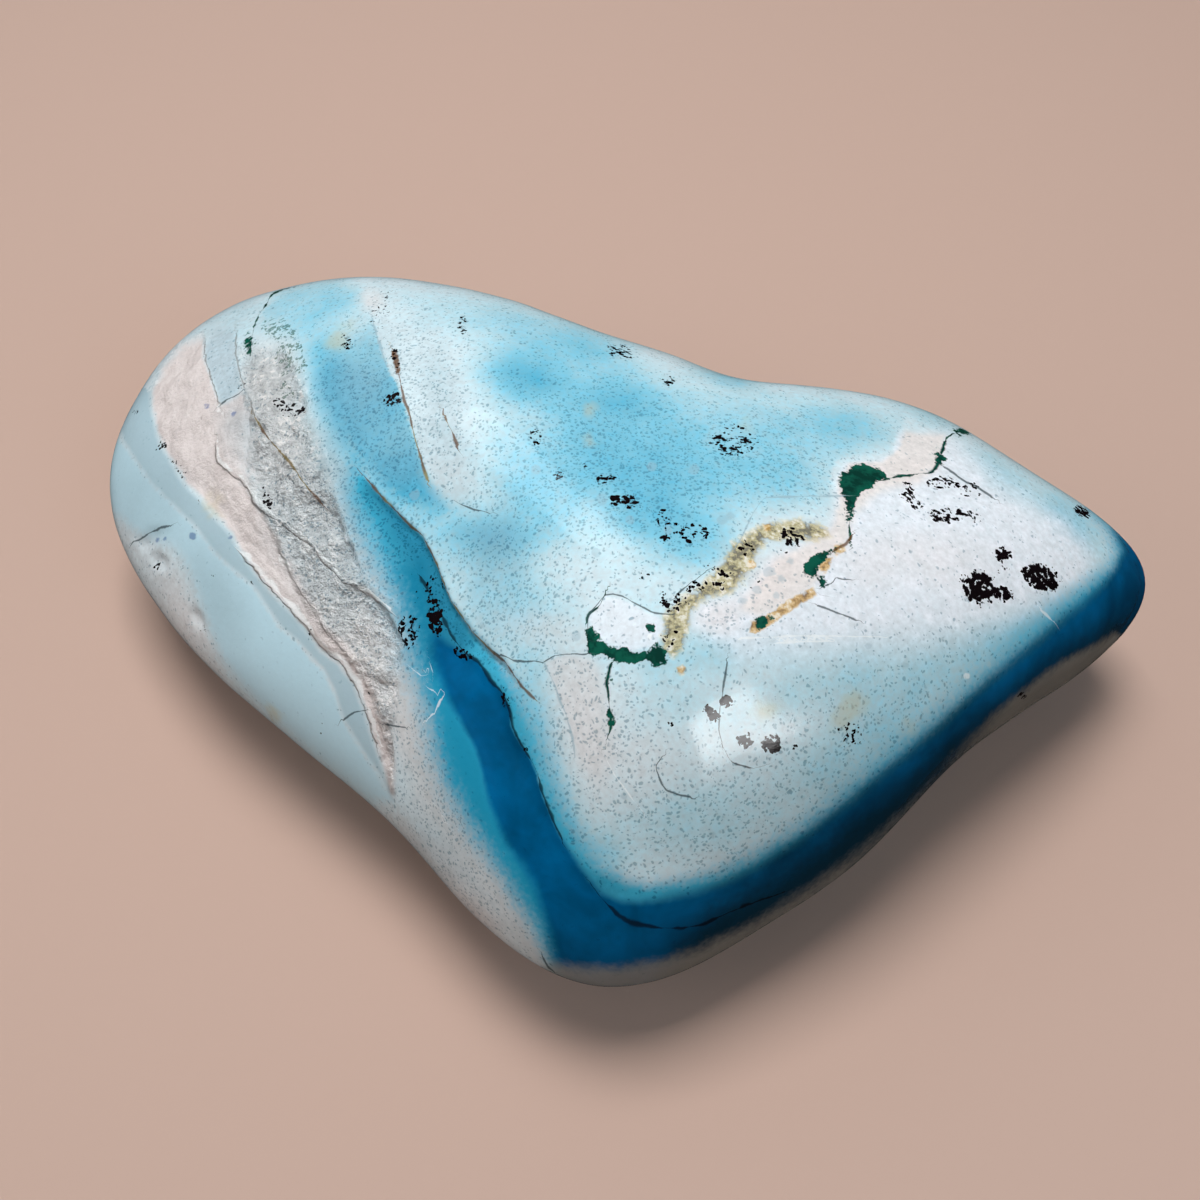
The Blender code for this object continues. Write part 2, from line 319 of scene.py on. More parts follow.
# Zones of colour, each a closed outline in photo pixels; the third number is how soft the edge is there.
zones = dict(
    teal=[
        (354, 466, 20), (365, 477, 4), (380, 495, 3), (395, 510, 3), (410, 525, 3), (422, 535, 3),
        (430, 550, 3), (437, 565, 3), (442, 580, 4), (450, 600, 4), (462, 617, 6), (480, 640, 9),
        (500, 662, 12), (522, 692, 16), (536, 730, 17), (550, 770, 18), (566, 808, 18), (582, 840, 17),
        (602, 866, 13), (625, 879, 11), (647, 884, 10), (680, 880, 12), (722, 868, 14), (772, 843, 16),
        (824, 809, 18), (871, 768, 20), (914, 732, 20), (956, 695, 20), (1011, 649, 20), (1054, 609, 18),
        (1089, 579, 14), (1110, 566, 12), (1115, 550, 12), (1109, 533, 13), (1090, 508, 14), (1100, 490, 14),
        (1175, 560, 14), (1175, 640, 9), (1010, 760, 9), (800, 950, 9), (600, 1030, 9), (562, 985, 12),
        (534, 930, 16), (507, 885, 18), (484, 852, 20), (462, 820, 22), (443, 785, 22), (431, 750, 22),
        (424, 715, 22), (415, 685, 24), (404, 655, 30), (392, 610, 32), (370, 562, 32), (354, 520, 28),
        (346, 490, 22),
    ],
    tealBody=[
        (440, 640, 14), (470, 690, 10), (500, 760, 10), (540, 860, 10), (580, 930, 10), (562, 975, 12),
        (538, 925, 16), (512, 880, 18), (489, 845, 18), (468, 812, 18), (452, 780, 18), (442, 745, 18),
        (434, 712, 16), (426, 685, 16), (418, 650, 18), (408, 610, 20), (398, 570, 20), (420, 560, 12),
    ],
    deep=[
        (432, 634, 8), (448, 645, 5), (465, 655, 4), (475, 660, 3), (487, 677, 3), (502, 692, 3),
        (510, 710, 3), (510, 725, 3), (517, 740, 3), (527, 755, 3), (535, 772, 3), (542, 797, 3),
        (552, 820, 3), (560, 837, 4), (570, 852, 5), (580, 865, 6), (590, 881, 6), (603, 894, 6),
        (618, 900, 6), (640, 902, 7), (665, 898, 8), (695, 892, 9), (725, 882, 10), (755, 868, 11),
        (801, 840, 12), (853, 800, 13), (903, 756, 13), (943, 721, 13), (993, 677, 13), (1038, 639, 13),
        (1080, 605, 11), (1105, 582, 9), (1118, 565, 7), (1124, 550, 9), (1117, 532, 12), (1180, 550, 14),
        (1180, 620, 12), (1160, 700, 10), (900, 900, 10), (700, 1010, 10), (600, 1030, 10), (565, 1000, 10),
        (552, 950, 10), (547, 930, 9), (541, 910, 8), (534, 887, 8), (522, 867, 7), (507, 847, 6),
        (497, 825, 5), (487, 800, 4), (482, 777, 3), (478, 758, 3), (470, 740, 3), (460, 720, 4),
        (450, 705, 5), (443, 690, 6), (436, 670, 8), (430, 652, 9),
    ],
    upperDeep=[
        (366, 482, 6), (380, 497, 4), (395, 512, 4), (410, 527, 4), (421, 537, 4), (429, 551, 4),
        (436, 566, 4), (441, 580, 4), (448, 600, 5), (461, 620, 6), (470, 640, 8), (460, 660, 12),
        (436, 668, 18), (424, 650, 24), (414, 610, 24), (400, 565, 22), (382, 522, 18), (368, 495, 12),
    ],
    # Painted shade: dark grey-blue where the front wall turns under towards the table.
    lowerDark=[
        (1140, 618, 10), (1110, 626, 12), (1070, 652, 14), (1030, 682, 15), (985, 716, 16), (950, 748, 16),
        (905, 786, 17), (860, 822, 18), (810, 858, 18), (760, 888, 18), (712, 916, 20), (680, 944, 18),
        (660, 975, 14), (680, 1040, 10), (800, 1000, 10), (1020, 800, 10), (1180, 660, 10),
    ],
    # Pale grey strip along the front wall's bottom edge: partly the stone's pale lower band, partly a painted
    # reflection of the table, which the polish doesn't mirror.
    lowerPale=[
        (1116, 634, 5), (1085, 652, 6), (1058, 668, 6), (1034, 685, 6), (1010, 704, 7), (990, 724, 8),
        (966, 750, 9), (944, 778, 10), (908, 814, 10), (862, 856, 10), (812, 890, 10), (760, 920, 10),
        (700, 948, 8), (660, 961, 8), (620, 968, 9), (580, 968, 9), (556, 964, 8), (538, 970, 6),
        (560, 1010, 8), (660, 1020, 8), (860, 930, 8), (1060, 760, 8), (1160, 650, 6),
    ],
    wedge=[
        (366, 276, 6), (362, 292, 6), (366, 306, 4), (373, 318, 3), (376, 333, 3), (382, 352, 3),
        (388, 368, 3), (398, 388, 3), (405, 408, 3), (411, 425, 3), (417, 447, 3), (423, 466, 4),
        (432, 482, 5), (444, 494, 8), (456, 512, 12), (440, 520, 16), (400, 500, 16), (372, 474, 14),
        (350, 462, 18), (336, 440, 26), (318, 405, 30), (298, 365, 30), (272, 335, 22), (256, 330, 10),
        (262, 312, 5), (276, 292, 5), (296, 272, 6),
    ],
    dishZone=[
        (906, 404, 6), (904, 424, 4), (898, 436, 4), (890, 452, 4), (872, 455, 4), (854, 456, 4),
        (836, 461, 4), (831, 480, 4), (831, 505, 5), (826, 520, 6), (800, 514, 6), (770, 520, 6),
        (748, 530, 4), (736, 546, 4), (722, 562, 4), (704, 578, 4), (684, 594, 5), (666, 604, 8),
        (640, 596, 18), (600, 580, 30), (560, 560, 30), (520, 560, 30), (480, 560, 30), (450, 540, 30),
        (440, 500, 26), (450, 440, 24), (455, 380, 24), (450, 330, 20), (520, 300, 10), (900, 370, 8),
    ],
    plateau=[
        (900, 432, 6), (893, 455, 4), (876, 461, 3), (846, 464, 3), (836, 478, 4), (836, 508, 6),
        (828, 524, 6), (800, 545, 6), (768, 560, 6), (750, 590, 6), (720, 600, 8), (700, 604, 8),
        (690, 625, 10), (740, 655, 24), (800, 652, 34), (880, 646, 36), (960, 634, 30), (1040, 610, 22),
        (1084, 580, 14), (1094, 558, 12), (1084, 540, 14), (1060, 518, 16), (1028, 500, 18), (994, 478, 18),
        (966, 450, 12), (948, 434, 8),
    ],
    cream=[
        (906, 430, 4), (898, 450, 3), (882, 462, 3), (850, 463, 3), (838, 480, 4), (838, 508, 5),
        (832, 526, 6), (806, 545, 6), (775, 560, 6), (752, 592, 7), (740, 608, 7), (757, 618, 6),
        (790, 604, 6), (812, 588, 6), (830, 560, 6), (846, 545, 6), (856, 512, 8), (880, 492, 8),
        (920, 480, 8), (942, 462, 6), (944, 436, 5),
    ],
    whitePatch=[
        (589, 618, 3), (598, 606, 3), (606, 597, 3), (620, 597, 3), (632, 604, 3), (645, 611, 3),
        (657, 617, 3), (666, 622, 4), (662, 634, 4), (655, 648, 4), (630, 652, 4), (605, 644, 4),
        (593, 634, 4),
    ],
    pinkGrey=[
        (543, 661, 4), (552, 680, 3), (559, 700, 3), (566, 717, 3), (571, 737, 4), (580, 760, 7),
        (598, 785, 14), (612, 755, 16), (608, 715, 12), (604, 680, 10), (592, 658, 6), (566, 655, 4),
    ],
    strip=[
        (116, 414, 4), (125, 442, 3), (137, 460, 3), (155, 485, 3), (175, 505, 3), (197, 527, 3),
        (215, 552, 3), (235, 570, 3), (255, 587, 3), (270, 610, 3), (280, 625, 3), (300, 642, 3),
        (312, 657, 3), (325, 670, 3), (335, 690, 3), (345, 719, 3), (362, 747, 3), (382, 777, 3),
        (392, 800, 3), (388, 788, 3), (382, 770, 3), (374, 747, 3), (364, 715, 3), (352, 684, 3),
        (336, 664, 3), (320, 652, 3), (303, 630, 3), (288, 612, 3), (270, 594, 3), (253, 574, 3),
        (238, 552, 3), (228, 534, 3), (218, 524, 3), (198, 500, 3), (183, 485, 3), (170, 463, 3),
        (160, 447, 3), (155, 431, 3), (150, 410, 3), (150, 390, 4), (158, 372, 6), (136, 385, 5),
    ],
    facet=[
        (106, 424, 6), (122, 444, 3), (135, 462, 3), (153, 487, 3), (173, 507, 3), (195, 529, 3),
        (213, 554, 3), (233, 572, 3), (253, 589, 3), (268, 612, 3), (278, 627, 3), (298, 644, 3),
        (310, 659, 3), (323, 672, 3), (333, 692, 3), (343, 721, 3), (360, 749, 4), (380, 779, 4),
        (392, 800, 6), (372, 802, 10), (330, 772, 12), (292, 738, 12), (264, 709, 10), (240, 682, 9),
        (224, 660, 8), (210, 628, 8), (198, 592, 8), (190, 566, 8), (172, 545, 10), (140, 535, 10),
        (100, 500, 8),
    ],
    pinkBand=[
        (162, 368, 5), (152, 390, 3), (153, 410, 3), (158, 430, 3), (163, 445, 3), (173, 460, 3),
        (186, 482, 3), (201, 497, 3), (221, 520, 3), (231, 532, 3), (241, 550, 3), (256, 572, 3),
        (273, 592, 3), (291, 610, 3), (306, 627, 3), (322, 648, 3), (340, 660, 3), (358, 682, 3),
        (368, 715, 3), (377, 747, 3), (385, 772, 3), (392, 797, 4), (392, 765, 8), (386, 730, 9),
        (378, 700, 8), (366, 672, 6), (344, 646, 5), (326, 626, 4), (312, 604, 4), (300, 588, 4),
        (290, 570, 4), (280, 550, 4), (272, 530, 4), (262, 512, 3), (253, 500, 6), (248, 480, 14),
        (246, 455, 18), (248, 430, 16), (250, 414, 8), (241, 391, 4), (228, 400, 3), (219, 404, 3),
        (210, 377, 3), (204, 360, 4), (202, 335, 6), (180, 345, 6),
    ],
    rough=[
        (240, 350, 8), (250, 350, 8), (268, 344, 14), (290, 350, 22), (302, 380, 30), (308, 410, 32),
        (320, 450, 28), (334, 490, 26), (346, 530, 26), (360, 570, 24), (384, 608, 18), (402, 640, 16),
        (398, 680, 12), (392, 730, 10), (392, 790, 8), (384, 742, 6), (376, 706, 5), (362, 676, 4),
        (342, 652, 4), (324, 632, 4), (308, 612, 4), (296, 592, 4), (284, 566, 4), (274, 540, 4),
        (264, 514, 4), (254, 500, 8), (250, 470, 14), (254, 430, 12), (246, 398, 8), (240, 372, 6),
    ],
    greyGround=[
        (258, 350, 14), (282, 352, 24), (296, 400, 28), (312, 440, 28), (332, 470, 26), (360, 520, 22),
        (388, 570, 18), (414, 620, 16), (438, 670, 18), (446, 720, 20), (460, 770, 22), (480, 820, 24),
        (506, 868, 24), (530, 920, 22), (545, 975, 16), (540, 965, 16), (500, 918, 20), (456, 866, 20),
        (420, 806, 16), (404, 760, 12), (388, 716, 8), (372, 690, 6), (342, 652, 6), (308, 612, 6),
        (284, 566, 6), (262, 512, 6), (250, 470, 8), (252, 420, 6), (240, 380, 6),
    ],
    smoothPatch=[
        (206, 345, 4), (206, 360, 3), (212, 377, 3), (221, 403, 3), (228, 399, 3), (240, 390, 3),
        (238, 372, 3), (235, 355, 3), (233, 330, 5), (215, 330, 8),
    ],
)

# Soft tints: middle, reach along and across, turn in degrees, strength.
tints = dict(
    turquoise=[
        (300, 300, 60, 30, -15, 0.2), (328, 400, 34, 80, -8, 0.5), (362, 500, 40, 60, -30, 0.5),
        (240, 330, 20, 40, 0, 0.15), (470, 318, 90, 26, 12, 0.3), (560, 340, 90, 24, 16, 0.45),
        (430, 560, 60, 60, 0, 0.25), (500, 590, 50, 70, 0, 0.42), (540, 640, 60, 80, 0, 0.25),
        (540, 720, 26, 60, -14, 0.5), (560, 790, 26, 60, -18, 0.4), (600, 850, 40, 24, 30, 0.35),
        (480, 530, 60, 50, 0, 0.4), (400, 500, 50, 40, 40, 0.4), (720, 650, 120, 26, -5, 0.35),
        (860, 670, 140, 40, -20, 0.35), (1000, 640, 90, 34, -38, 0.35), (760, 800, 140, 44, -24, 0.22),
        (880, 730, 120, 44, -38, 0.4), (660, 810, 80, 60, 0, 0.2), (1000, 480, 60, 22, 34, 0.4),
        (1070, 525, 50, 26, 45, 0.55), (1040, 620, 60, 26, -35, 0.45), (640, 600, 40, 24, 10, 0.15),
        (680, 690, 70, 50, 0, 0.2), (930, 415, 40, 14, 20, 0.3),
    ],
    wedge=[
        (385, 400, 46, 60, 20, 0.95), (345, 390, 50, 60, 10, 0.6), (300, 320, 60, 40, -10, 0.3),
        (370, 345, 18, 26, 0, 0.4), (410, 460, 36, 40, 30, 0.75), (370, 450, 40, 30, 20, 0.5),
        (420, 490, 50, 26, 30, 0.5), (345, 300, 30, 20, 0, 0.3),
    ],
    dish=[
        (525, 378, 56, 34, 15, 0.9), (620, 400, 80, 36, 14, 0.75), (580, 440, 60, 50, 0, 0.5),
        (540, 490, 90, 40, 50, 0.55), (640, 470, 90, 50, 20, 0.7), (650, 520, 70, 40, 20, 0.65),
        (700, 460, 100, 54, 10, 0.54), (560, 470, 60, 40, 20, 0.15), (700, 540, 50, 40, -30, 0.5),
        (725, 376, 40, 16, 14, 0.42), (780, 430, 110, 44, 8, 0.42), (850, 425, 60, 24, 8, 0.5),
        (790, 480, 60, 40, 0, 0.42), (600, 350, 60, 20, 20, 0.15), (500, 540, 60, 30, 0, 0.4),
    ],
    pink=[
        (950, 560, 70, 40, 10, 0.3), (775, 575, 50, 26, -25, 0.5), (720, 615, 26, 20, 0, 0.55),
        (870, 560, 50, 36, 0, 0.3), (580, 730, 40, 80, -10, 0.5), (640, 770, 50, 50, 0, 0.35),
        (372, 302, 16, 14, 0, 0.6), (910, 470, 40, 18, 0, 0.3), (540, 630, 60, 22, 10, 0.35),
        (350, 650, 50, 60, 40, 0.4), (180, 610, 26, 90, -28, 0.7), (135, 530, 26, 40, -10, 0.4),
        (420, 850, 60, 18, 44, 0.4), (470, 910, 60, 18, 44, 0.7), (400, 720, 30, 60, 0, 0.3),
        (450, 480, 40, 30, 40, 0.25), (240, 440, 24, 40, -10, 0.4),
    ],
    grey=[
        (320, 560, 50, 90, -30, 0.45), (290, 500, 40, 50, 0, 0.15), (400, 740, 40, 80, -10, 0.1),
        (440, 850, 50, 50, 45, 0.35), (350, 480, 30, 50, -20, 0.4), (480, 640, 40, 40, 0, 0.25),
        (600, 790, 50, 40, 0, 0.12), (130, 480, 20, 60, 0, 0.3), (150, 560, 20, 60, -20, 0.3),
        (150, 500, 40, 60, -20, 0.75), (215, 590, 30, 60, -30, 0.7), (240, 320, 46, 34, 0, 0.35),
        (365, 380, 44, 70, 15, 0.7), (400, 450, 40, 40, 20, 0.4), (445, 420, 26, 90, -10, 0.75),
        (495, 550, 40, 50, 0, 0.65), (238, 425, 26, 44, -10, 0.6), (330, 466, 18, 48, -20, 0.6),
        (355, 520, 16, 34, -25, 0.55),
    ],
    # Darker deep blue along the front wall's lower edge: partly the stone's deeper colour, partly painted
    # shade where the wall turns under.
    navy=[
        (600, 975, 50, 26, 0, 0.45), (700, 935, 70, 26, -14, 0.5), (790, 880, 80, 26, -30, 0.55),
        (880, 812, 80, 24, -36, 0.55), (970, 740, 80, 22, -38, 0.5), (1060, 665, 70, 22, -40, 0.5),
        (1125, 610, 40, 30, -50, 0.5), (600, 885, 30, 14, 20, 0.3),
    ],
    speckled=[
        (600, 470, 130, 90, 20, 0.9), (500, 600, 80, 90, 0, 0.8), (370, 420, 60, 90, 0, 0.9),
        (330, 560, 60, 120, -30, 0.5), (440, 780, 60, 90, -20, 0.7), (600, 750, 80, 90, 0, 0.6),
        (760, 460, 100, 50, 0, 0.6), (700, 830, 140, 60, -20, 0.5), (380, 540, 50, 60, -40, 0.8),
        (840, 720, 120, 60, -30, 0.35), (430, 400, 50, 90, -10, 0.5), (480, 880, 60, 60, 40, 0.6),
        (720, 620, 60, 40, 0, 0.5),
    ],
)

# Clusters of dark dendrites: middle, reach along and across, turn, how dense.
dendriteClusters = dict(
    endLeft=(979, 587, 22, 21, 12, 1.05), endRight=(1041, 577, 25, 16, 24, 1.03),
    endLobe=(1004, 594, 13, 10, 0, 1.02), endTop=(1003, 554, 11, 10, 0, 1.0),
    endStem=(1003, 570, 8, 9, 0, 0.88), endLow=(986, 603, 10, 7, 0, 0.9), tipSpot=(1082, 511, 12, 6, 30, 1.0),
    ringLeft=(907, 491, 11, 12, 0, 0.87), ringTop=(944, 483, 20, 9, 0, 0.91),
    ringRight=(970, 490, 15, 9, 10, 0.87), ringLow=(947, 515, 25, 9, 0, 0.94),
    ringLowRight=(975, 516, 10, 9, 0, 0.84), ringMid=(917, 505, 8, 7, 0, 0.86),
    dishRight=(735, 441, 24, 18, 10, 0.87), dishFar=(711, 439, 5, 5, 0, 0.9),
    dishMid=(625, 502, 18, 10, 15, 0.96), dishSmall=(606, 480, 12, 9, 0, 0.94),
    dishLow=(670, 534, 14, 14, 30, 0.85), dishLowRight=(694, 534, 18, 13, 0, 0.87),
    dishEdge=(663, 518, 8, 12, 0, 0.88), backA=(620, 352, 17, 9, 20, 0.88), backB=(668, 380, 9, 7, 0, 0.88),
    ridgeBack=(462, 325, 8, 13, 0, 0.88), backC=(682, 391, 6, 5, 0, 0.7), whiteA=(536, 437, 9, 10, 0, 0.86),
    whiteB=(559, 474, 9, 8, 0, 0.85), whiteC=(584, 467, 7, 5, 0, 0.82), whiteD=(644, 574, 7, 9, 0, 0.84),
    ochreA=(727, 570, 11, 9, 0, 0.86), ochreB=(747, 548, 11, 10, 0, 0.9), ochreC=(792, 538, 16, 12, 20, 0.92),
    ochreD=(697, 588, 15, 11, 0, 0.86), ochreE=(670, 637, 11, 11, 0, 0.86), ochreF=(674, 604, 17, 12, 0, 0.9),
    ochreG=(711, 568, 9, 9, 0, 0.82), ochreH=(752, 581, 10, 8, 0, 0.8), ochreI=(785, 550, 9, 6, 0, 0.76),
    ochreJ=(718, 585, 9, 8, 0, 0.82), ochreK=(664, 596, 6, 6, 0, 0.86), pinkA=(161, 446, 7, 7, 0, 0.88),
    pinkB=(178, 468, 5, 15, -30, 0.88), pinkC=(264, 496, 6, 17, -20, 0.93), pinkD=(196, 432, 16, 14, 0, 0.55),
    wedgeA=(393, 399, 11, 10, 0, 0.92), wedgeB=(345, 342, 11, 10, -30, 0.87),
    wedgeC=(383, 306, 12, 26, 20, 0.76), wedgeD=(366, 333, 8, 7, 0, 0.76),
    leftMoss=(285, 404, 20, 11, 10, 0.88), leftA=(243, 308, 10, 12, -40, 0.74),
    leftB=(292, 282, 10, 7, 0, 0.86), leftC=(240, 381, 7, 9, 0, 0.84), leftD=(306, 360, 20, 26, 0, 0.62),
    topRight=(390, 294, 22, 12, 0, 0.6), channelBig=(433, 615, 10, 25, -6, 0.97),
    channelLeft=(408, 632, 14, 19, 5, 0.89), channelTop=(432, 588, 12, 18, 0, 0.82),
    channelSpot=(461, 654, 15, 7, 24, 0.97), channelLow=(505, 701, 6, 20, -8, 0.9),
    channelDot=(525, 752, 5, 8, 0, 0.88), channelWest=(402, 655, 9, 9, 0, 0.74),
    channelEnd=(420, 600, 12, 12, 0, 0.7), cornerA=(727, 702, 9, 9, 0, 1.02),
    cornerB=(708, 710, 8, 7, 0, 0.97), cornerC=(746, 740, 11, 11, 0, 1.02),
    cornerD=(772, 744, 13, 12, 0, 1.05), cornerE=(795, 747, 5, 5, 0, 0.9),
    cornerF=(850, 735, 17, 14, 0, 0.86), cornerG=(715, 717, 8, 7, 0, 0.99), cornerH=(671, 724, 4, 4, 0, 0.95),
    lowEdge=(1024, 697, 6, 5, 0, 0.95), seamTop=(397, 358, 7, 12, -10, 0.84), facetA=(203, 629, 6, 8, 0, 0.8),
    facetB=(322, 735, 6, 14, 0, 0.72), facetC=(252, 583, 4, 3, 0, 0.9), facetD=(155, 566, 5, 5, 0, 0.9),
    facetE=(213, 576, 5, 4, 0, 0.8), facetF=(312, 632, 5, 5, 0, 0.8), facetG=(216, 640, 4, 4, 0, 0.8),
    facetH=(197, 501, 4, 4, 0, 0.9), facetI=(136, 412, 5, 5, 0, 0.85), facetJ=(122, 441, 5, 5, 0, 0.7),
    facetK=(367, 695, 4, 4, 0, 0.9), facetL=(320, 764, 6, 5, 0, 0.8), facetM=(231, 538, 6, 4, 0, 0.7),
    facetN=(155, 478, 4, 3, 0, 0.8),
)

# Lines on the surface, in photo pixels. Lines of one group never run beside each other.
lines = dict(
    crack=dict(
        patchOutline=[(588, 632), (588, 617), (594, 608), (605, 595), (613, 594), (622, 596), (634, 603),
                      (645, 609), (652, 613), (672, 615)],
        ridgeCrack=[(502, 655), (515, 661), (525, 662), (535, 661), (543, 663), (555, 656), (566, 654),
                    (587, 654)],
        cornerRing=[(727, 662), (724, 685), (720, 710), (719, 730), (723, 744)],
        hook=[(661, 759), (656, 765), (657, 772), (661, 782), (666, 790), (676, 794), (690, 797)],
        ochreEdge=[(676, 596), (690, 583), (706, 572)],
        plateauCrack=[(945, 467), (957, 475), (966, 482), (977, 487), (992, 497)],
        midCrack=[(817, 606), (830, 610), (842, 615), (855, 620)],
        midBranch=[(826, 586), (832, 584), (836, 577), (841, 580), (852, 580)],
        slopeLedge=[(462, 505), (475, 510), (487, 512)],
        facetCrack=[(345, 719), (355, 712), (366, 710)],
        facetCrackLow=[(385, 724), (405, 727)],
        chinCrack=[(543, 958), (548, 968), (556, 974)],
        stripDash=[(219, 405), (227, 399), (234, 396), (242, 390)],
        chipLine=[(136, 541), (148, 533), (158, 528), (168, 526)],
    ),
    seam=dict(
        backSeam=[(392, 352), (396, 365), (400, 380), (404, 400), (410, 415), (414, 435), (420, 455),
                  (427, 478)],
        channelCrack=[(365, 477), (380, 495), (395, 510), (410, 525), (422, 535), (430, 550), (437, 565),
                      (442, 580), (450, 600), (462, 617), (472, 632), (480, 640), (492, 652), (505, 662),
                      (515, 677), (522, 687), (534, 698)],
        bandLine=[(255, 417), (262, 430), (275, 447), (290, 462), (302, 480), (317, 499)],
        oliveMark=[(445, 417), (452, 432), (457, 445)],
        loopLink=[(851, 537), (845, 545), (834, 550)],
    ),
    dark=dict(
        lowSeam=[(590, 884), (605, 903), (617, 914), (630, 922), (655, 927), (680, 928), (705, 924),
                 (730, 912), (760, 901), (785, 893)],
        cornerArc=[(724, 748), (728, 757), (733, 763), (743, 766), (755, 769), (768, 765)],
        channelVein=[(418, 575), (426, 590), (436, 606), (448, 634), (462, 652), (476, 662), (488, 680),
                     (502, 694), (509, 712), (512, 728), (520, 744), (528, 757), (536, 773), (543, 797),
                     (553, 820), (561, 838)],
    ),
    green=dict(
        vein=[(885, 479), (900, 476), (915, 474), (932, 472), (937, 466), (940, 457), (942, 451), (945, 440),
              (952, 434), (960, 431), (971, 432)],
        patchLine=[(587, 624), (588, 616), (594, 610), (600, 605), (605, 594)],
        drip=[(612, 662), (607, 680), (609, 697), (610, 712), (611, 727), (607, 740)],
        leftLine=[(250, 342), (254, 325), (260, 312), (272, 294), (295, 282)],
        stem=[(855, 500), (851, 512), (849, 524), (850, 538)],
    ),
    faint=dict(
        blueEdge=[(736, 546), (742, 537), (752, 515), (764, 498), (800, 497), (845, 496)],
        pinkEdge=[(544, 662), (553, 680), (560, 700), (567, 717), (572, 737), (575, 757)],
        wedgeEdge=[(372, 318), (375, 330), (380, 345), (387, 368)],
    ),
    # Ledges are real steps in the relief; the finish also paints a shadow line along each and a highlight line
    # beside it.
    ledge=dict(
        bandLedge=[(213, 440), (215, 460), (222, 468), (237, 478), (248, 490), (255, 505), (267, 515),
                   (282, 525), (297, 537), (310, 547), (322, 562), (340, 580), (360, 590), (377, 602),
                   (387, 610)],
        lowLedge=[(243, 556), (256, 572), (273, 592), (291, 610), (306, 627), (322, 648), (340, 662),
                  (356, 684), (368, 715), (377, 747)],
    ),
    # The finish also paints a shadow line along these.
    smallLedge=dict(
        innerLedge=[(274, 532), (278, 552), (286, 572), (297, 590), (310, 608), (326, 630), (344, 652)],
        topLedge=[(236, 335), (236, 355), (240, 376), (247, 396), (254, 416)],
        patchLip=[(205, 345), (206, 362), (211, 378), (218, 402)],
    ),
    scratch=dict(
        frontScratch=[(607, 760), (615, 776), (622, 785), (635, 802), (642, 811)],
        longScratch=[(740, 638), (800, 636), (885, 637)],
        longScratchLow=[(775, 643), (830, 641)],
        endScratch=[(1041, 610), (1052, 620)],
        westGlintA=[(416, 672), (421, 676), (427, 675)],
        westGlintB=[(430, 664), (432, 671)],
        westGlintC=[(426, 686), (431, 690)],
        westGlintD=[(440, 700), (437, 707)],
        westGlintE=[(433, 714), (427, 720)],
        channelGlintA=[(438, 808), (443, 813)],
        channelGlintB=[(444, 822), (450, 826)],
    ),
)

# Filled marks, each a closed outline in photo pixels.
fills = dict(
    green=dict(
        blob=[(843, 470), (852, 467), (860, 465), (875, 469), (890, 479), (878, 481), (872, 486), (862, 490),
              (857, 500), (853, 512), (849, 522), (845, 522), (844, 505), (841, 490), (840, 477)],
        loopTop=[(836, 549), (820, 553), (812, 559), (806, 566), (803, 573), (806, 577), (812, 576),
                 (817, 580), (818, 589), (826, 586), (822, 577), (816, 570), (821, 562), (832, 555)],
        patchRing=[(585, 630), (586, 646), (588, 655), (597, 652), (604, 655), (612, 662), (622, 660),
                   (635, 662), (648, 661), (655, 666), (668, 665), (666, 652), (658, 643), (653, 647),
                   (645, 653), (634, 652), (626, 648), (617, 648), (607, 646), (598, 640), (592, 628)],
        patchBit=[(644, 624), (656, 623), (655, 630), (648, 632)],
        veinKnot=[(936, 452), (942, 450), (945, 458), (941, 467), (936, 465)],
        veinEnd=[(952, 431), (962, 429), (971, 431), (968, 435), (956, 436)],
        lowMark=[(755, 619), (764, 616), (771, 619), (766, 624), (759, 630), (754, 625)],
        leftBlob=[(247, 335), (252, 334), (254, 342), (250, 354), (245, 350)],
        dripMark=[(607, 706), (613, 709), (614, 724), (608, 727)],
        dripTop=[(605, 680), (611, 680), (610, 692), (607, 692)],
    ),
    ochre=dict(
        upperBand=[(662, 632), (664, 616), (672, 606), (690, 594), (705, 582), (720, 564), (732, 544),
                   (745, 536), (757, 528), (768, 521), (782, 524), (795, 520), (812, 522), (826, 528),
                   (828, 536), (815, 542), (800, 540), (780, 541), (767, 542), (757, 554), (752, 568),
                   (742, 580), (732, 592), (715, 596), (700, 602), (692, 612), (688, 630), (684, 647),
                   (675, 656), (663, 650)],
    ),
    gold=dict(
        lowerBand=[(748, 632), (750, 622), (764, 617), (774, 611), (789, 600), (803, 592), (812, 588),
                   (816, 594), (806, 602), (795, 608), (782, 616), (768, 626), (755, 634)],
        loopSide=[(822, 560), (832, 556), (830, 566), (824, 574), (818, 568)],
        swirl=[(677, 668), (683, 666), (687, 669), (684, 673), (678, 674)],
        upperSpot=[(764, 524), (771, 524), (771, 531), (765, 531)],
        lowerSpot=[(749, 561), (755, 562), (755, 568), (750, 568)],
        endSpot=[(834, 547), (843, 544), (844, 552), (836, 555)],
    ),
    brown=dict(
        seamTop=[(391, 351), (398, 352), (400, 366), (400, 376), (396, 374), (393, 362)],
    ),
    glint=dict(
        ledgeGlint=[(277, 530), (288, 530), (300, 537), (296, 541), (284, 538)],
        ledgeGlintLow=[(354, 662), (362, 668), (366, 682), (360, 680)],
        bandGlint=[(274, 548), (280, 556), (288, 570), (284, 572), (276, 560)],
        stripGlint=[(140, 386), (156, 372), (158, 378), (148, 392)],
        patchTip=[(214, 396), (219, 404), (221, 414), (216, 410)],
    ),
)

# Small hollows where the polish is chipped, each a closed outline in photo pixels.
chips = dict(
    leftChip=[(136, 541), (150, 530), (168, 528), (160, 538), (152, 548), (142, 552)],
    midChip=[(190, 614), (197, 608), (202, 614), (204, 626), (196, 628)],
    lowChip=[(150, 556), (158, 552), (168, 560), (164, 572), (152, 566)],
)

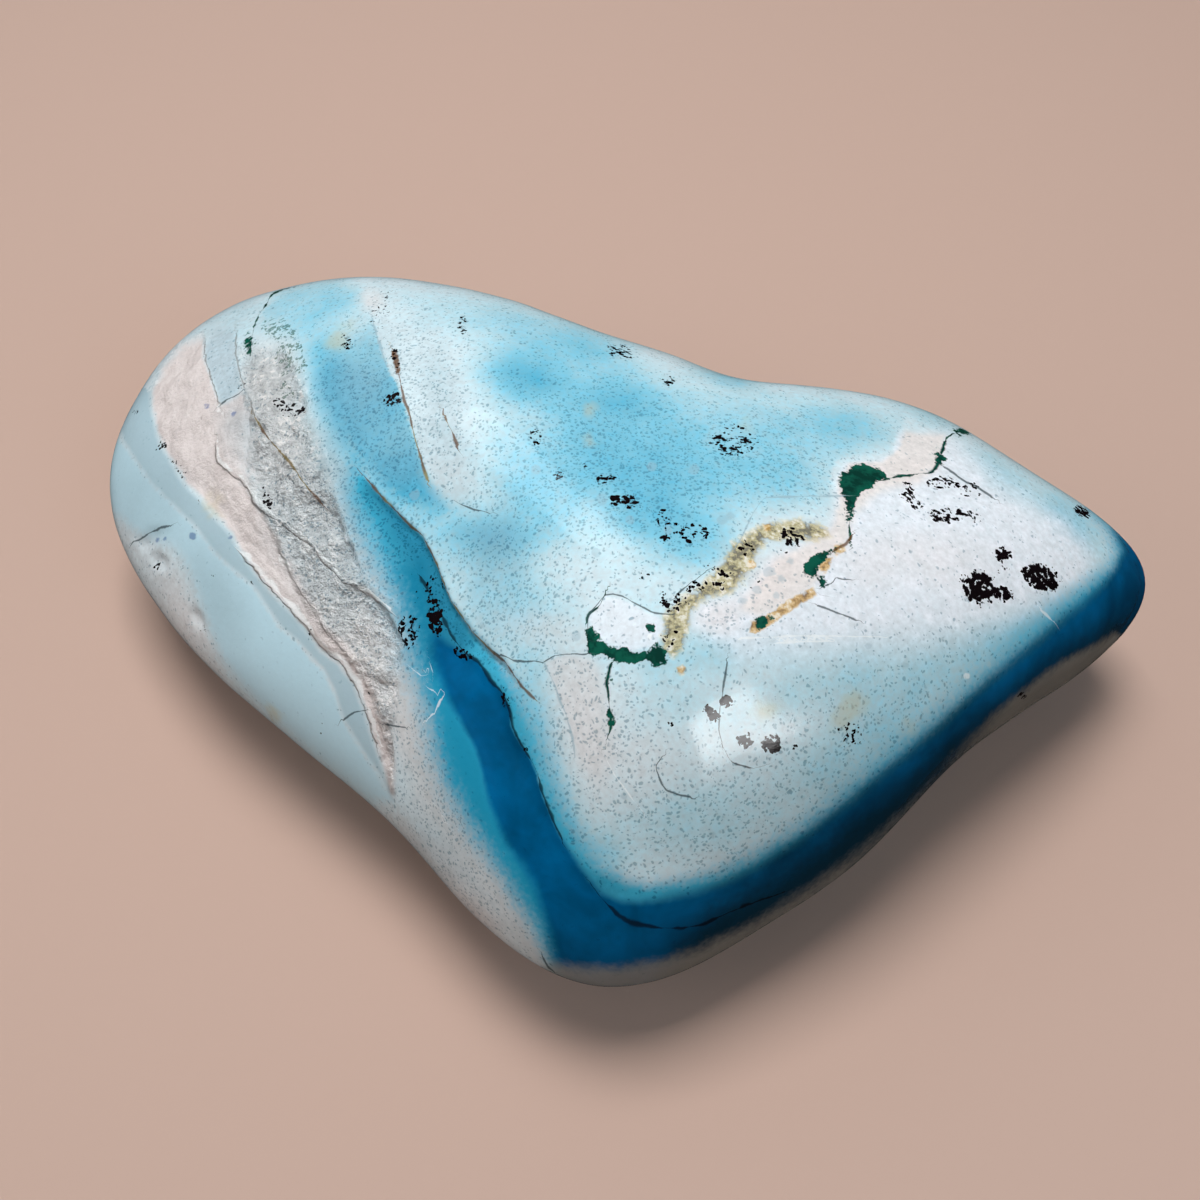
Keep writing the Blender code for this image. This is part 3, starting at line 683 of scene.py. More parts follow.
# Small round spots in photo pixels: middle and radius.
spots = dict(
    ink=[(231, 411, 3.4), (205, 405, 3.0), (165, 539, 2.6), (192, 536, 4.0), (155, 540, 3.0),
         (230, 537, 2.4)],
    facetGrey=[
        (415, 495, 4.5), (602, 499, 5.5), (652, 465, 5.0), (576, 636, 5.0), (624, 796, 4.0), (694, 468, 5.5),
        (722, 520, 5.0), (730, 516, 4.0), (781, 579, 4.5), (630, 520, 4.5), (757, 590, 4.0), (769, 572, 5.0),
        (742, 601, 4.0), (790, 562, 4.0), (776, 596, 3.5), (536, 470, 5.0), (596, 553, 4.0), (668, 530, 5.0),
        (712, 835, 3.5), (905, 665, 4.0), (868, 646, 3.5), (560, 655, 3.0), (482, 626, 4.0),
    ],
    pebble=[(300, 546, 6.0), (966, 676, 3.5), (650, 637, 3.0)],
    stain=[
        (765, 711, 16.0), (852, 708, 16.0), (842, 724, 12.0), (910, 727, 8.0), (592, 411, 6.0),
        (589, 440, 4.0), (275, 717, 10.0), (208, 508, 12.0), (340, 338, 10.0), (352, 326, 8.0),
        (882, 661, 2.0), (747, 426, 5.0),
    ],
)

# Mossy green specks below the polish, given as the dendrite clusters are.
mossClusters = dict(
    top=(278, 330, 22, 14, 10, 0.88),
    middle=(290, 358, 22, 20, 30, 0.86),
    low=(284, 393, 10, 16, 0, 0.86),
)

# How the markings' distances and amounts are worked out.
fieldEdges = dict(
    tintFall=1.4,            # a soft tint is strength * exp(-tintFall * reach^tintPower)
    tintPower=2.4,
    clusterFall=3.2,         # how steeply a cluster's density falls at its rim
    clusterBase=0.66,        # density at which its middle would be empty
    lineEnd=(9.0, 15.0),     # pixels past a line's end over which its presence goes
    lineGap=50.0,            # pixels between one line and the next, along them
    hiddenFacing=0.04,       # below this cosine the camera doesn't see the surface
    seenFacing=(0.03, 0.16),   # cosines over which it comes to be seen well
    layersFade=(3.0, 16.0),  # mm past the seen part over which the layers fade
    markSeen=0.3,            # how well the surface must be seen to show spots and fills
    clusterSeen=0.5,         # the same for dendrites and moss
    farOutside=(-30.0, -20.0, -1.0),   # spot, fill and cluster values where nothing is seen
    wornRough=(-6.0, 6.0),   # pixels across the edge of the rough zone over which the polish goes
    wornBand=(-4.0, 8.0),    # the same for the pink band
    wornBandShare=0.3,
)


def pathValues(places, path, closed=False):
    # for each place: distance to the nearest point of the path, the side it lies on (1 or -1), how far along
    # that point is, the third number of the path there, and the path's whole length
    corners = np.array(path, float)
    if closed:
        corners = np.concatenate([corners, corners[:1]])
    nearest = np.full(len(places), np.inf)
    side = np.zeros(len(places))
    along = np.zeros(len(places))
    third = np.zeros(len(places))
    run = 0.0
    for start, end in zip(corners[:-1], corners[1:]):
        step = end[:2] - start[:2]
        length = np.hypot(step[0], step[1])
        away = places - start[:2]
        share = np.clip((away @ step) / length ** 2, 0.0, 1.0)
        gap = np.hypot(away[:, 0] - share * step[0], away[:, 1] - share * step[1])
        closer = gap < nearest
        nearest = np.where(closer, gap, nearest)
        turn = step[0] * away[:, 1] - step[1] * away[:, 0]
        side = np.where(closer, np.where(turn < 0.0, -1.0, 1.0), side)
        along = np.where(closer, run + share * length, along)
        if len(start) > 2:
            third = np.where(closer, start[2] + share * (end[2] - start[2]), third)
        run += length
    return nearest, side, along, third, run


def insideOutline(places, outline):
    # even-odd rule: a place is inside when a level ray from it crosses the outline an odd number of times
    corners = np.array(outline, float)[:, :2]
    inside = np.zeros(len(places), bool)
    for start, end in zip(corners, np.roll(corners, -1, axis=0)):
        spans = (start[1] > places[:, 1]) != (end[1] > places[:, 1])
        rise = np.where(end[1] == start[1], 1e-9, end[1] - start[1])
        crossing = start[0] + (places[:, 1] - start[1]) * (end[0] - start[0]) / rise
        inside ^= spans & (places[:, 0] < crossing)
    return inside


def zoneEdge(places, outline):
    # signed distance to an outline, positive inside, and the edge's softness at the nearest point
    gap, side, along, soft, run = pathValues(places, outline, closed=True)
    return np.where(insideOutline(places, outline), gap, -gap), soft


def ellipseReach(places, x, y, long, wide, turn):
    # distance from the middle of a turned ellipse, counted in its own reaches: 1 all along its rim
    angle = np.radians(turn)
    dx = places[:, 0] - x
    dy = places[:, 1] - y
    a = (dx * np.cos(angle) + dy * np.sin(angle)) / long
    b = (dy * np.cos(angle) - dx * np.sin(angle)) / wide
    return np.hypot(a, b)


def tintAmount(places, ellipses):
    # soft union of ellipses: 1 less the product of what each leaves
    left = np.ones(len(places))
    for *ellipse, strength in ellipses:
        reach = ellipseReach(places, *ellipse)
        left *= 1.0 - strength * np.exp(-fieldEdges["tintFall"] * reach ** fieldEdges["tintPower"])
    return 1.0 - left


def clusterDensity(places, clusters):
    # the highest of all clusters, each flat inside and falling to its rim
    highest = np.full(len(places), -1.0)
    for *ellipse, dense in clusters.values():
        inside = np.minimum(dense - fieldEdges["clusterBase"], 1.0 - ellipseReach(places, *ellipse))
        highest = np.maximum(highest, fieldEdges["clusterFall"] * inside)
    return highest


def spotEdge(places, group):
    # highest signed distance of a group of round spots: radius less the distance to the middle
    edges = [radius - np.hypot(places[:, 0] - x, places[:, 1] - y) for x, y, radius in group]
    return np.max(edges, axis=0)


def lineValues(places, group):
    # nearest line of a group: signed distance across it, distance along, and presence that ends past its ends
    across = np.zeros(len(places))
    along = np.zeros(len(places))
    best = np.full(len(places), np.inf)
    run = 0.0
    for path in group.values():
        gap, side, far, third, length = pathValues(places, path)
        closer = gap < best
        best = np.where(closer, gap, best)
        across = np.where(closer, gap * side, across)
        along = np.where(closer, run + far, along)
        run += length + fieldEdges["lineGap"]
    return np.column_stack([across, along, 1.0 - ramp(best, *fieldEdges["lineEnd"])])


def fillEdge(places, group):
    # highest signed distance of a group of filled marks
    return np.max([zoneEdge(places, outline)[0] for outline in group.values()], axis=0)


def seenPlaces(grid, normals):
    # photo pixels of each grid point, how well it is seen, and how far in mm it lies past the last seen row of
    # its column; past that row the pixels stay those of the row, so the layers run on down the unseen side
    rows, columns = grid.shape[:2]
    places = photoPlace(grid.reshape(-1, 3)).reshape(rows, columns, 2)
    towards = viewPlace() - grid
    towards /= np.linalg.norm(towards, axis=2, keepdims=True)
    facing = (normals * towards).sum(2)
    hidden = np.maximum.accumulate(facing < fieldEdges["hiddenFacing"], axis=0)
    hidden[0] = False
    lastSeen = np.maximum.accumulate(np.where(hidden, 0, np.arange(rows)[:, None]), axis=0)
    frozen = np.take_along_axis(places, lastSeen[:, :, None], axis=0)
    past = np.linalg.norm(grid - np.take_along_axis(grid, lastSeen[:, :, None], axis=0), axis=2)
    return frozen, ramp(facing, *fieldEdges["seenFacing"]) * ~hidden, past


# How far the surface stands out or sinks in, in mm. A cloud is given as cell in mm and height.
relief = dict(
    swell=((9.0, 0.12), (4.5, 0.06)),                 # broad unevenness of the polish
    channelStep=0.75,                                 # the channel lies this much below its sharp right edge
    channelReach=34.0,                                # pixels over which it comes back up
    channelEnds=(40.0, 60.0),                         # pixels over which the step begins and ends
    deepSink=0.25,                                    # the deep blue lies this much lower in the channel
    deepEnd=(860.0, 920.0),                           # pixel rows over which that stops
    grain=((2.4, 0.26), (1.2, 0.182), (0.7, 0.104)),  # of the rough zone
    flakes=((3.2, 2.5), (1.5, 1.25)),                 # clouds that are cut into steps, counted in flakes
    flakeEdge=(0.75, 1.0),                            # share of a flake that is its sloping edge
    flake=0.26,                                       # height of one flake
    bandSink=0.3,                                     # the rough zone lies below the polish round it
    bandShare=0.5,                                    # how rough the pink band is, against the rough zone
    ledges=dict(bandLedge=0.16, lowLedge=0.096),
    ledgeEnds=(20.0, 20.0),                           # pixels
    ledgeWobble=((1.8, 3.0), (0.8, 1.8)),             # pixels
    ledgeReach=(22.0, 16.0),                          # pixels above and below the edge
    ledgeFoot=0.4,                                    # depth of the foot, against the height
    chipDepth=0.35,
    tableFade=(1.0, 5.0),                             # mm above the table over which all relief comes in
    edges=dict(                                       # pixels across each edge over which its relief comes in
        crack=(-2.0, 5.0), deep=(-4.0, 10.0), rough=(-4.0, 8.0), band=(-2.0, 6.0), ledge=(-1.5, 1.5),
        chip=(-3.0, 5.0),
    ),
)
reliefSeeds = dict(swell=11, grain=21, flakes=24, ledgeWobble=31)


def clouds(points, name):
    # sum of value noises, one for each cell and height of a relief, each with a seed of its own
    layers = enumerate(relief[name])
    return sum(height * cloud(points, cell, reliefSeeds[name] + index) for index, (cell, height) in layers)


def lengthwise(along, run, ends):
    # 1 along a path, and easing to 0 over its first and last stretch
    first, last = ends
    return ramp(along, 0.0, first) * (1.0 - ramp(along, run - last, run))


def surfaceRelief(points, places, seen):
    # sum of the named reliefs, each a mask in photo pixels times its height
    edges = relief["edges"]
    height = clouds(points, "swell")
    gap, side, along, soft, run = pathValues(places, lines["seam"]["channelCrack"])
    drop = np.where(side > 0.0, np.exp(-gap / relief["channelReach"]), 0.0) * ramp(gap, *edges["crack"])
    height -= relief["channelStep"] * drop * lengthwise(along, run, relief["channelEnds"]) * seen
    deep = ramp(zoneEdge(places, zones["deep"])[0], *edges["deep"])
    height -= relief["deepSink"] * deep * (1.0 - ramp(places[:, 1], *relief["deepEnd"])) * seen
    rough = ramp(zoneEdge(places, zones["rough"])[0], *edges["rough"])
    band = ramp(zoneEdge(places, zones["pinkBand"])[0], *edges["band"])
    ragged = np.maximum(rough, relief["bandShare"] * band) * seen
    level = clouds(points, "flakes")
    flakes = np.floor(level) + ramp(level - np.floor(level), *relief["flakeEdge"])
    height += ragged * (clouds(points, "grain") + relief["flake"] * flakes - relief["bandSink"])
    wobble = clouds(points, "ledgeWobble")
    above, below = relief["ledgeReach"]
    for name, step in relief["ledges"].items():
        gap, side, along, soft, run = pathValues(places, lines["ledge"][name])
        signed = gap * side + wobble
        beyond = ramp(signed, *edges["ledge"])
        foot = relief["ledgeFoot"] * beyond * np.exp(-np.abs(signed) / below)
        rise = (1.0 - beyond) * np.exp(-np.abs(signed) / above) - foot
        height += step * rise * lengthwise(along, run, relief["ledgeEnds"]) * seen
    height -= relief["chipDepth"] * ramp(fillEdge(places, chips), *edges["chip"]) * seen
    return height


# Tints of the side that the photograph doesn't show.
hiddenTints = dict(turquoise=0.3, wedge=0.0, dish=0.0, pink=0.12, grey=0.1, navy=0.0, speckled=0.6)


def stoneFields(places, seen, past):
    # every value that the finish reads, by attribute name
    noSpot, noFill, noCluster = fieldEdges["farOutside"]
    marked = seen > fieldEdges["markSeen"]
    fields = {}
    for name, outline in zones.items():
        gap, soft = zoneEdge(places, outline)
        fields[name] = np.column_stack([gap, soft, np.ones(len(gap))])
    onward = 1.0 - ramp(past, *fieldEdges["layersFade"])
    for name, ellipses in tints.items():
        fields[name + "Tint"] = tintAmount(places, ellipses) * onward + hiddenTints[name] * (1.0 - onward)
    for name, clusters in (("dendrites", dendriteClusters), ("moss", mossClusters)):
        fields[name] = np.where(seen > fieldEdges["clusterSeen"], clusterDensity(places, clusters), noCluster)
    for name, group in spots.items():
        fields[name + "Spots"] = np.where(marked, spotEdge(places, group), noSpot)
    for name, group in lines.items():
        fields[name + "Lines"] = lineValues(places, group)
        fields[name + "Lines"][:, 2] *= seen
    for name, group in fills.items():
        fields[name + "Fill"] = np.where(marked, fillEdge(places, group), noFill)
    rough = ramp(fields["rough"][:, 0], *fieldEdges["wornRough"])
    band = ramp(fields["pinkBand"][:, 0], *fieldEdges["wornBand"])
    fields["worn"] = np.maximum(rough, fieldEdges["wornBandShare"] * band) * seen
    fields["onward"] = onward
    return fields


def buildStone():
    # the rows and columns become one closed surface: quads between rows and a fan of triangles at each end
    grid, top, bottom = stoneGrid()
    normals = gridNormals(grid, top, bottom)
    rows, columns = grid.shape[:2]
    places, seen, past = seenPlaces(grid, normals)
    points = grid.reshape(-1, 3)
    places = places.reshape(-1, 2)
    seen = seen.reshape(-1)
    past = past.reshape(-1)
    lift = surfaceRelief(points, places, seen)
    lift *= ramp(points[:, 2], *relief["tableFade"])
    moved = points + lift[:, None] * normals.reshape(-1, 3)
    fields = stoneFields(places, seen, past)
    topLift = lift[:columns].mean()
    vertices = np.concatenate([moved, [top + (0.0, 0.0, topLift)], [bottom]]) * mm
    here = np.arange(rows * columns).reshape(rows, columns)
    right = np.roll(here, -1, axis=1)
    quads = np.stack([here[:-1], here[1:], right[1:], right[:-1]], axis=-1).reshape(-1, 4)
    topFan = np.column_stack([np.full(columns, rows * columns), here[0], right[0]])
    bottomFan = np.column_stack([np.full(columns, rows * columns + 1), right[-1], here[-1]])
    mesh = bpy.data.meshes.new("polishedStone")
    mesh.from_pydata(vertices.tolist(), [], quads.tolist() + topFan.tolist() + bottomFan.tolist())
    mesh.polygons.foreach_set("use_smooth", np.ones(len(mesh.polygons), bool))
    for name, values in fields.items():
        values = np.asarray(values, float)
        ends = np.stack([values[:columns].mean(axis=0), values[-columns:].mean(axis=0)])
        values = np.concatenate([values, ends]).astype(np.float32)
        kind = "FLOAT_VECTOR" if values.ndim > 1 else "FLOAT"
        key = "vector" if values.ndim > 1 else "value"
        mesh.attributes.new(name, kind, "POINT").data.foreach_set(key, values.ravel())
    mesh.update()
    stone = bpy.data.objects.new("polishedStone", mesh)
    bpy.context.scene.collection.objects.link(stone)
    return stone


# Small helpers for node trees

def tint(code):
    # linear colour from a six-figure code
    parts = np.array([int(code[i:i + 2], 16) for i in (0, 2, 4)]) / 255.0
    linear = np.where(parts <= 0.04045, parts / 12.92, ((parts + 0.055) / 1.055) ** 2.4)
    return (*linear, 1.0)


def put(tree, kind, inputs=(), **settings):
    # adds a node, sets its properties, and gives each named input a value or joins it to a socket
    node = tree.nodes.new(kind)
    for name, value in settings.items():
        setattr(node, name, value)
    for name, value in dict(inputs).items():
        if isinstance(value, bpy.types.NodeSocket):
            tree.links.new(value, node.inputs[name])
        else:
            node.inputs[name].default_value = value
    return node


def maths(tree, operation, first, second=0.0, third=0.0, clamp=False):
    # one sum of up to three values
    node = put(tree, "ShaderNodeMath", {0: first, 1: second, 2: third}, operation=operation, use_clamp=clamp)
    return node.outputs[0]


def smoothRange(tree, value, low, high, toLow=0.0, toHigh=1.0):
    # smooth step of a value from one number at low to another at high
    inputs = {"Value": value, "From Min": low, "From Max": high, "To Min": toLow, "To Max": toHigh}
    return put(tree, "ShaderNodeMapRange", inputs, interpolation_type="SMOOTHSTEP").outputs["Result"]


def blendColour(tree, amount, under, over, mode="MIX"):
    # one colour over another by an amount from 0 to 1
    colours = {0: amount, 6: under, 7: over}   # the colour sockets of a Mix node
    return put(tree, "ShaderNodeMix", colours, data_type="RGBA", blend_type=mode).outputs[2]


def noise(tree, size, detail=3.0, roughness=0.55, warp=0.0, output=0):
    # fractal noise on Object coordinates; size is the length of its largest feature in mm
    place = put(tree, "ShaderNodeTexCoord").outputs["Object"]
    inputs = {"Vector": place, "Scale": 1.0 / (size * mm), "Detail": detail, "Roughness": roughness,
              "Distortion": warp}
    return put(tree, "ShaderNodeTexNoise", inputs).outputs[output]


def colourRamp(tree, value, stops):
    # colour for a value, blended between stops of place and colour code
    node = put(tree, "ShaderNodeValToRGB", {"Fac": value})
    points = node.color_ramp.elements
    while len(points) < len(stops):
        points.new(1.0)
    for point, (place, colour) in zip(points, stops):
        point.position = place
        point.color = tint(colour)
    return node.outputs["Color"]


def fieldVector(tree, name):
    # a zone's or line's three values, as the mesh keeps them
    return put(tree, "ShaderNodeAttribute", attribute_name=name).outputs["Vector"]


def fieldValue(tree, name):
    # a tint's, spot's or fill's single value
    return put(tree, "ShaderNodeAttribute", attribute_name=name).outputs["Fac"]


def split(tree, vector):
    # the three numbers of a vector
    return put(tree, "ShaderNodeSeparateXYZ", {0: vector}).outputs


def newGroup(name, vector, numbers):
    # a node group with one vector input, number inputs with their start values, and a mask as its output
    tree = bpy.data.node_groups.new(name, "ShaderNodeTree")
    tree.interface.new_socket(vector, in_out="INPUT", socket_type="NodeSocketVector")
    for label, start in numbers.items():
        socket = tree.interface.new_socket(label, in_out="INPUT", socket_type="NodeSocketFloat")
        socket.default_value = start
    tree.interface.new_socket("Mask", in_out="OUTPUT", socket_type="NodeSocketFloat")
    return tree, tree.nodes.new("NodeGroupInput").outputs, tree.nodes.new("NodeGroupOutput").inputs


def useGroup(tree, name, inputs):
    # places a group with its values and gives back its mask
    return put(tree, "ShaderNodeGroup", inputs, node_tree=bpy.data.node_groups[name]).outputs[0]


def softEdgeGroup():
    # mask of a zone: its signed distance, pushed about by coarse and fine noise, through a smooth step that is
    # as wide as its softness
    numbers = dict(Coarse=0.0, Fine=0.0, Waver=3.0, Grit=0.6)
    tree, into, out = newGroup("softEdge", "Edge", numbers)
    edge, softness, present = split(tree, into["Edge"])
    widen = maths(tree, "MULTIPLY", maths(tree, "MULTIPLY_ADD", softness, 0.1, 2.0), into["Waver"])
    grit = maths(tree, "MULTIPLY", maths(tree, "MULTIPLY", into["Fine"], into["Grit"]), softness)
    moved = maths(tree, "ADD", edge, maths(tree, "MULTIPLY_ADD", into["Coarse"], widen, grit))
    low = maths(tree, "MULTIPLY", softness, -1.0)
    tree.links.new(smoothRange(tree, moved, low, softness), out["Mask"])


def thinLineGroup():
    # mask of a line: distance across it, wavered and compared with a width that noise makes thick and thin; it
    # is full within 0.4 of the width and gone at 1.5 of it
    numbers = dict(Wander=0.0, Vary=0.0, Width=1.0, Waver=1.5, Breaks=0.3, Offset=0.0)
    tree, into, out = newGroup("thinLine", "Line", numbers)
    distance, along, present = split(tree, into["Line"])
    wander = maths(tree, "MULTIPLY", into["Wander"], 2.0)
    across = maths(tree, "MULTIPLY_ADD", wander, into["Waver"], distance)
    across = maths(tree, "ABSOLUTE", maths(tree, "SUBTRACT", across, into["Offset"]))
    vary = maths(tree, "MULTIPLY_ADD", into["Vary"], into["Breaks"], 1.0)
    width = maths(tree, "MAXIMUM", maths(tree, "MULTIPLY", into["Width"], vary), 0.02)
    inner, outer = (maths(tree, "MULTIPLY", width, share) for share in (0.4, 1.5))
    mask = smoothRange(tree, across, inner, outer, 1.0, 0.0)
    tree.links.new(maths(tree, "MULTIPLY", mask, present), out["Mask"])


def cellPattern(tree, place, cell):
    # Voronoi cells of a size in mm: distance to the middle of the nearest, and its random numbers
    scale = maths(tree, "DIVIDE", 1.0 / mm, cell)
    cells = put(tree, "ShaderNodeTexVoronoi", {"Vector": place, "Scale": scale}).outputs
    return cells["Distance"], put(tree, "ShaderNodeSeparateColor", {0: cells["Color"]}).outputs


def speckGroup():
    # small dots: one in each cell that its random number picks, from 0.5 to 1.4 of the given size
    tree, into, out = newGroup("specks", "Place", dict(Cell=0.6, Share=0.3, Size=0.3))
    distance, chance = cellPattern(tree, into["Place"], into["Cell"])
    picked = smoothRange(tree, maths(tree, "SUBTRACT", into["Share"], chance[0]), -0.05, 0.05)
    size = maths(tree, "MULTIPLY", into["Size"], maths(tree, "MULTIPLY_ADD", chance[1], 0.9, 0.5))
    dot = smoothRange(tree, distance, maths(tree, "MULTIPLY", size, 0.5), size, 1.0, 0.0)
    tree.links.new(maths(tree, "MULTIPLY", dot, picked), out["Mask"])


def dendriteGroup():
    # dark tufts: lobes of cells that grow together where density and branching noise are high, and stand alone
    # or go where they are low
    tree, into, out = newGroup("dendrite", "Place", dict(Density=0.0, Branch=0.0, Lobe=0.38))
    distance, chance = cellPattern(tree, into["Place"], into["Lobe"])
    level = maths(tree, "MULTIPLY_ADD", into["Branch"], 2.6, into["Density"])
    level = maths(tree, "MULTIPLY_ADD", chance[0], -0.35, level)
    mask = smoothRange(tree, maths(tree, "SUBTRACT", distance, level), -0.2, -0.08, 1.0, 0.0)
    present = smoothRange(tree, into["Density"], -0.15, 0.0)
    tree.links.new(maths(tree, "MULTIPLY", mask, present), out["Mask"])


stoneFinish = dict(
    noises=dict(   # size in mm, detail, roughness, warp
        coarse=(2.0, 3.0, 0.62),
        fine=(0.5, 2.0, 0.6),
        mottle=(5.0, 3.0, 0.6, 0.3),
        middling=(1.4, 3.0, 0.65),
    ),
    breakNoise=(2.2, 2.0, 0.6),          # makes lines thick and thin
    breakRange=(0.3, 0.65),
    ruffleNoise=(0.8, 1.0, 0.6),
    ruffle=0.7,                          # mm by which specks and tufts are pushed out of round
    fineRagged=0.6,                      # share of fine noise in ragged edges and in crumbs
    crumbFine=0.7,
    ground=((0.0, "CBDCE2"), (0.3, "B0D1DB"), (0.65, "7DBED3"), (1.0, "4CA2C0")),
    blueEdges=dict(wedge=(3.0, 1.0), dishZone=(2.0, 0.6)),   # waver and grit
    groundClouds=dict(mottle=0.4, middling=0.3, fine=0.3),
    plateauPatches=(0.9, 0.85),          # share of noise in the plateau's white, and its level
    hiddenMottle=(1.4, 0.4),
    hiddenGround=((0.0, "CFDDE2"), (0.5, "B3D3DF"), (1.0, "7FC1DC")),
    # Zones and soft tints in the order in which they are laid: colour, strength, then the waver and grit of a
    # zone's edge or the mottling of a tint's.
    lowPaint=dict(
        greyGround=("C3C4C4", 0.8, 4.0, 1.0),
        plateau=("E0E5EC", 0.95, 3.0, 0.6),
        cream=("DDD3CC", 0.65, 3.0, 0.6),
        pinkTint=("DCD0CC", 0.75, 0.5),
        whitePatch=("E0E5EC", 0.7, 3.0, 0.6),
        pinkGrey=("CBC8C8", 0.6, 2.0, 0.6),
        rough=("C3C4C4", 0.5, 4.0, 1.0),
        pinkBand=("D2C8C5", 0.95, 2.0, 0.6),
    ),
    # On the worn zones, pale crumbs are painted highlights on the grains and dark pits are painted shade in
    # their hollows.
    crumbs=(0.04, 0.16, 0.5, "E9E5E2"),     # noise over which they come in, strength, colour
    pitShade=(-0.18, -0.06, 0.3, "84878A"),     # noise over which they go, strength, colour
    topPaint=dict(
        smoothPatch=("A9BBC4", 0.75, 2.0, 0.6),
        strip=("A2BEC9", 0.85, 1.5, 0.6),
        facet=("B9DAE6", 0.95, 1.5, 0.6),
        greyTint=("8FA7B0", 0.6, 0.4),
        teal=("3BA0BE", 1.0, 2.0, 0.9),
        tealBody=("1A8BAE", 0.9, 2.0, 0.8),
        upperDeep=("0F5F7E", 0.65, 2.0, 0.8),
        deep=(((0.35, "00486F"), (0.65, "006094")), 1.0, 1.5, 0.4),
        # painted shade on the lower front wall
        lowerDark=("143544", 0.9, 4.0, 0.6),
        # partly the stone's deeper blue, partly painted shade on the front wall's lower edge
        navyTint=("00263D", 0.75),
        # partly the stone's pale lower band, partly a painted reflection of the table
        lowerPale=("9A9A92", 0.75, 3.0, 0.6),
    ),
    smoothLayers=("deep", "facet", "strip", "pinkBand", "tealBody"),   # these show little grain
    shade=dict(middling=0.25, fine=0.45),                              # grain of light and dark
    smoothShade=-0.85,                                                 # how much of it those layers lose
    specks=((0.3, 1.3, 0.46, 0.7), (0.5, 0.5, 0.28, 0.8)),             # cell in mm, share, size, strength
    speckPlaces=(0.8, 0.18, 0.6),        # amount by tint, amount everywhere, how calm the plateau is
    speckStrength=0.75,
    speckTone="6A93A3",
    facetGrey=(8.0, 0.4, "8FA9B5"),      # waver, strength, colour
    stain=dict(mottle=70.0, middling=20.0, edge=(-6.0, 16.0), reach=(-16.0, 0.0), strength=0.4, tone="C4B78A"),
    earth=((0.28, "5F5232"), (0.42, "9C8F5C"), (0.6, "BFB387"), (0.78, "DAD5C6")),
    gold=((0.3, "7A5A2C"), (0.45, "B08A48"), (0.6, "CFB079"), (0.75, "E2D8C4")),
    spreads=dict(earth=1.5, gold=1.1),                                 # how far noise goes along these ramps
    greens=("middling", -0.1, 0.14, "08332B", "0F5242"),               # noise, its range, two colours
    seams=("mottle", -0.08, 0.08, "5E3D1C", "8A7A38"),
    # Marks in the order in which they are laid: strength, colour or tone, then each attribute with its share
    # and its numbers for fillMask or lineMask.
    marks=(
        (0.85, "earth", dict(ochreFill=(1.0, 22.0, 4.0))),
        (0.9, "gold", dict(goldFill=(1.0, 10.0, 1.5))),
        (1.0, "greens", dict(greenFill=(1.0, 17.0), greenLines=(1.0, 1.2, 2.2, 0.9))),
        (0.85, "seams", dict(seamLines=(1.0, 1.1, 1.4, 0.8))),
        (0.9, "5E3D1C", dict(brownFill=(1.0, 3.0))),
        (0.8, "0C0609", dict(darkLines=(1.0, 1.4, 1.8, 0.9))),
        (0.85, "3A4A50", dict(crackLines=(1.0, 0.8, 1.4, 0.6))),
        (0.65, "8FA9B5", dict(faintLines=(1.0, 0.9, 1.6, 0.8))),
        # painted shadow along the ledges and lips
        (0.6, "8F8985", dict(ledgeLines=(1.0, 0.9, 3.0, 0.9), smallLedgeLines=(0.7, 0.7, 2.4, 0.9))),
        # white scratches and pebbles, and painted highlights: a line beside each ledge where its rim catches
        # light, and the glints
        (0.6, "EEF2F2", dict(
            ledgeLines=(1.0, 1.6, 3.0, 0.95, -3.0), scratchLines=(0.9, 0.75, 1.2, 0.95),
            glintFill=(0.7, 14.0), pebbleSpots=(1.0, 2.0),
        )),
        (0.6, "23508F", dict(inkSpots=(1.0, 3.0))),
    ),
    branching=0.7,
    tufts=("0C0609", "2F5B4C"),          # dendrites and moss
    mossFaintness=0.3,
    dull=dict(rough=0.9, pinkBand=0.7),  # how worn each layer's polish is
    polish=0.14,
    wornPolish=0.62,
    coat=0.03,
    glossGrain=0.08,
    coatRoughness=0.12,
    refraction=1.5,
    mirror=0.06,                         # specular level
    grit=(1.4, 4.0, 0.7),                # noise of the fine relief: size in mm, detail, roughness
    polishedGrit=0.03,                   # share of it on the polish, against the worn zones
    lips=dict(ledgeLines=0.15, smallLedgeLines=0.09),   # share of the fine relief's height
    lipPlace=(5.4, 6.6),                 # where the lip drops, in pixels
    lipWaver=12.0,                       # how far the grit pushes it about
    bump=dict(Strength=0.9, Distance=0.0013),
)


def grainValues(tree):
    # noise that all masks share, each around 0, and places that it ruffles
    look = stoneFinish
    grain = {}
    for name, numbers in look["noises"].items():
        grain[name] = maths(tree, "SUBTRACT", noise(tree, *numbers), 0.5)
    grain["crumbs"] = maths(tree, "ADD", grain["middling"], grain["fine"])
    grain["vary"] = smoothRange(tree, noise(tree, *look["breakNoise"]), *look["breakRange"], 1.0, -1.0)
    shift = noise(tree, *look["ruffleNoise"], output=1)
    shift = put(tree, "ShaderNodeVectorMath", {0: shift, 1: (0.5, 0.5, 0.5)}, operation="SUBTRACT").outputs[0]
    place = put(tree, "ShaderNodeTexCoord").outputs["Object"]
    ruffle = {0: shift, 1: (look["ruffle"] * mm,) * 3, 2: place}
    grain["place"] = put(tree, "ShaderNodeVectorMath", ruffle, operation="MULTIPLY_ADD").outputs[0]
    return grain


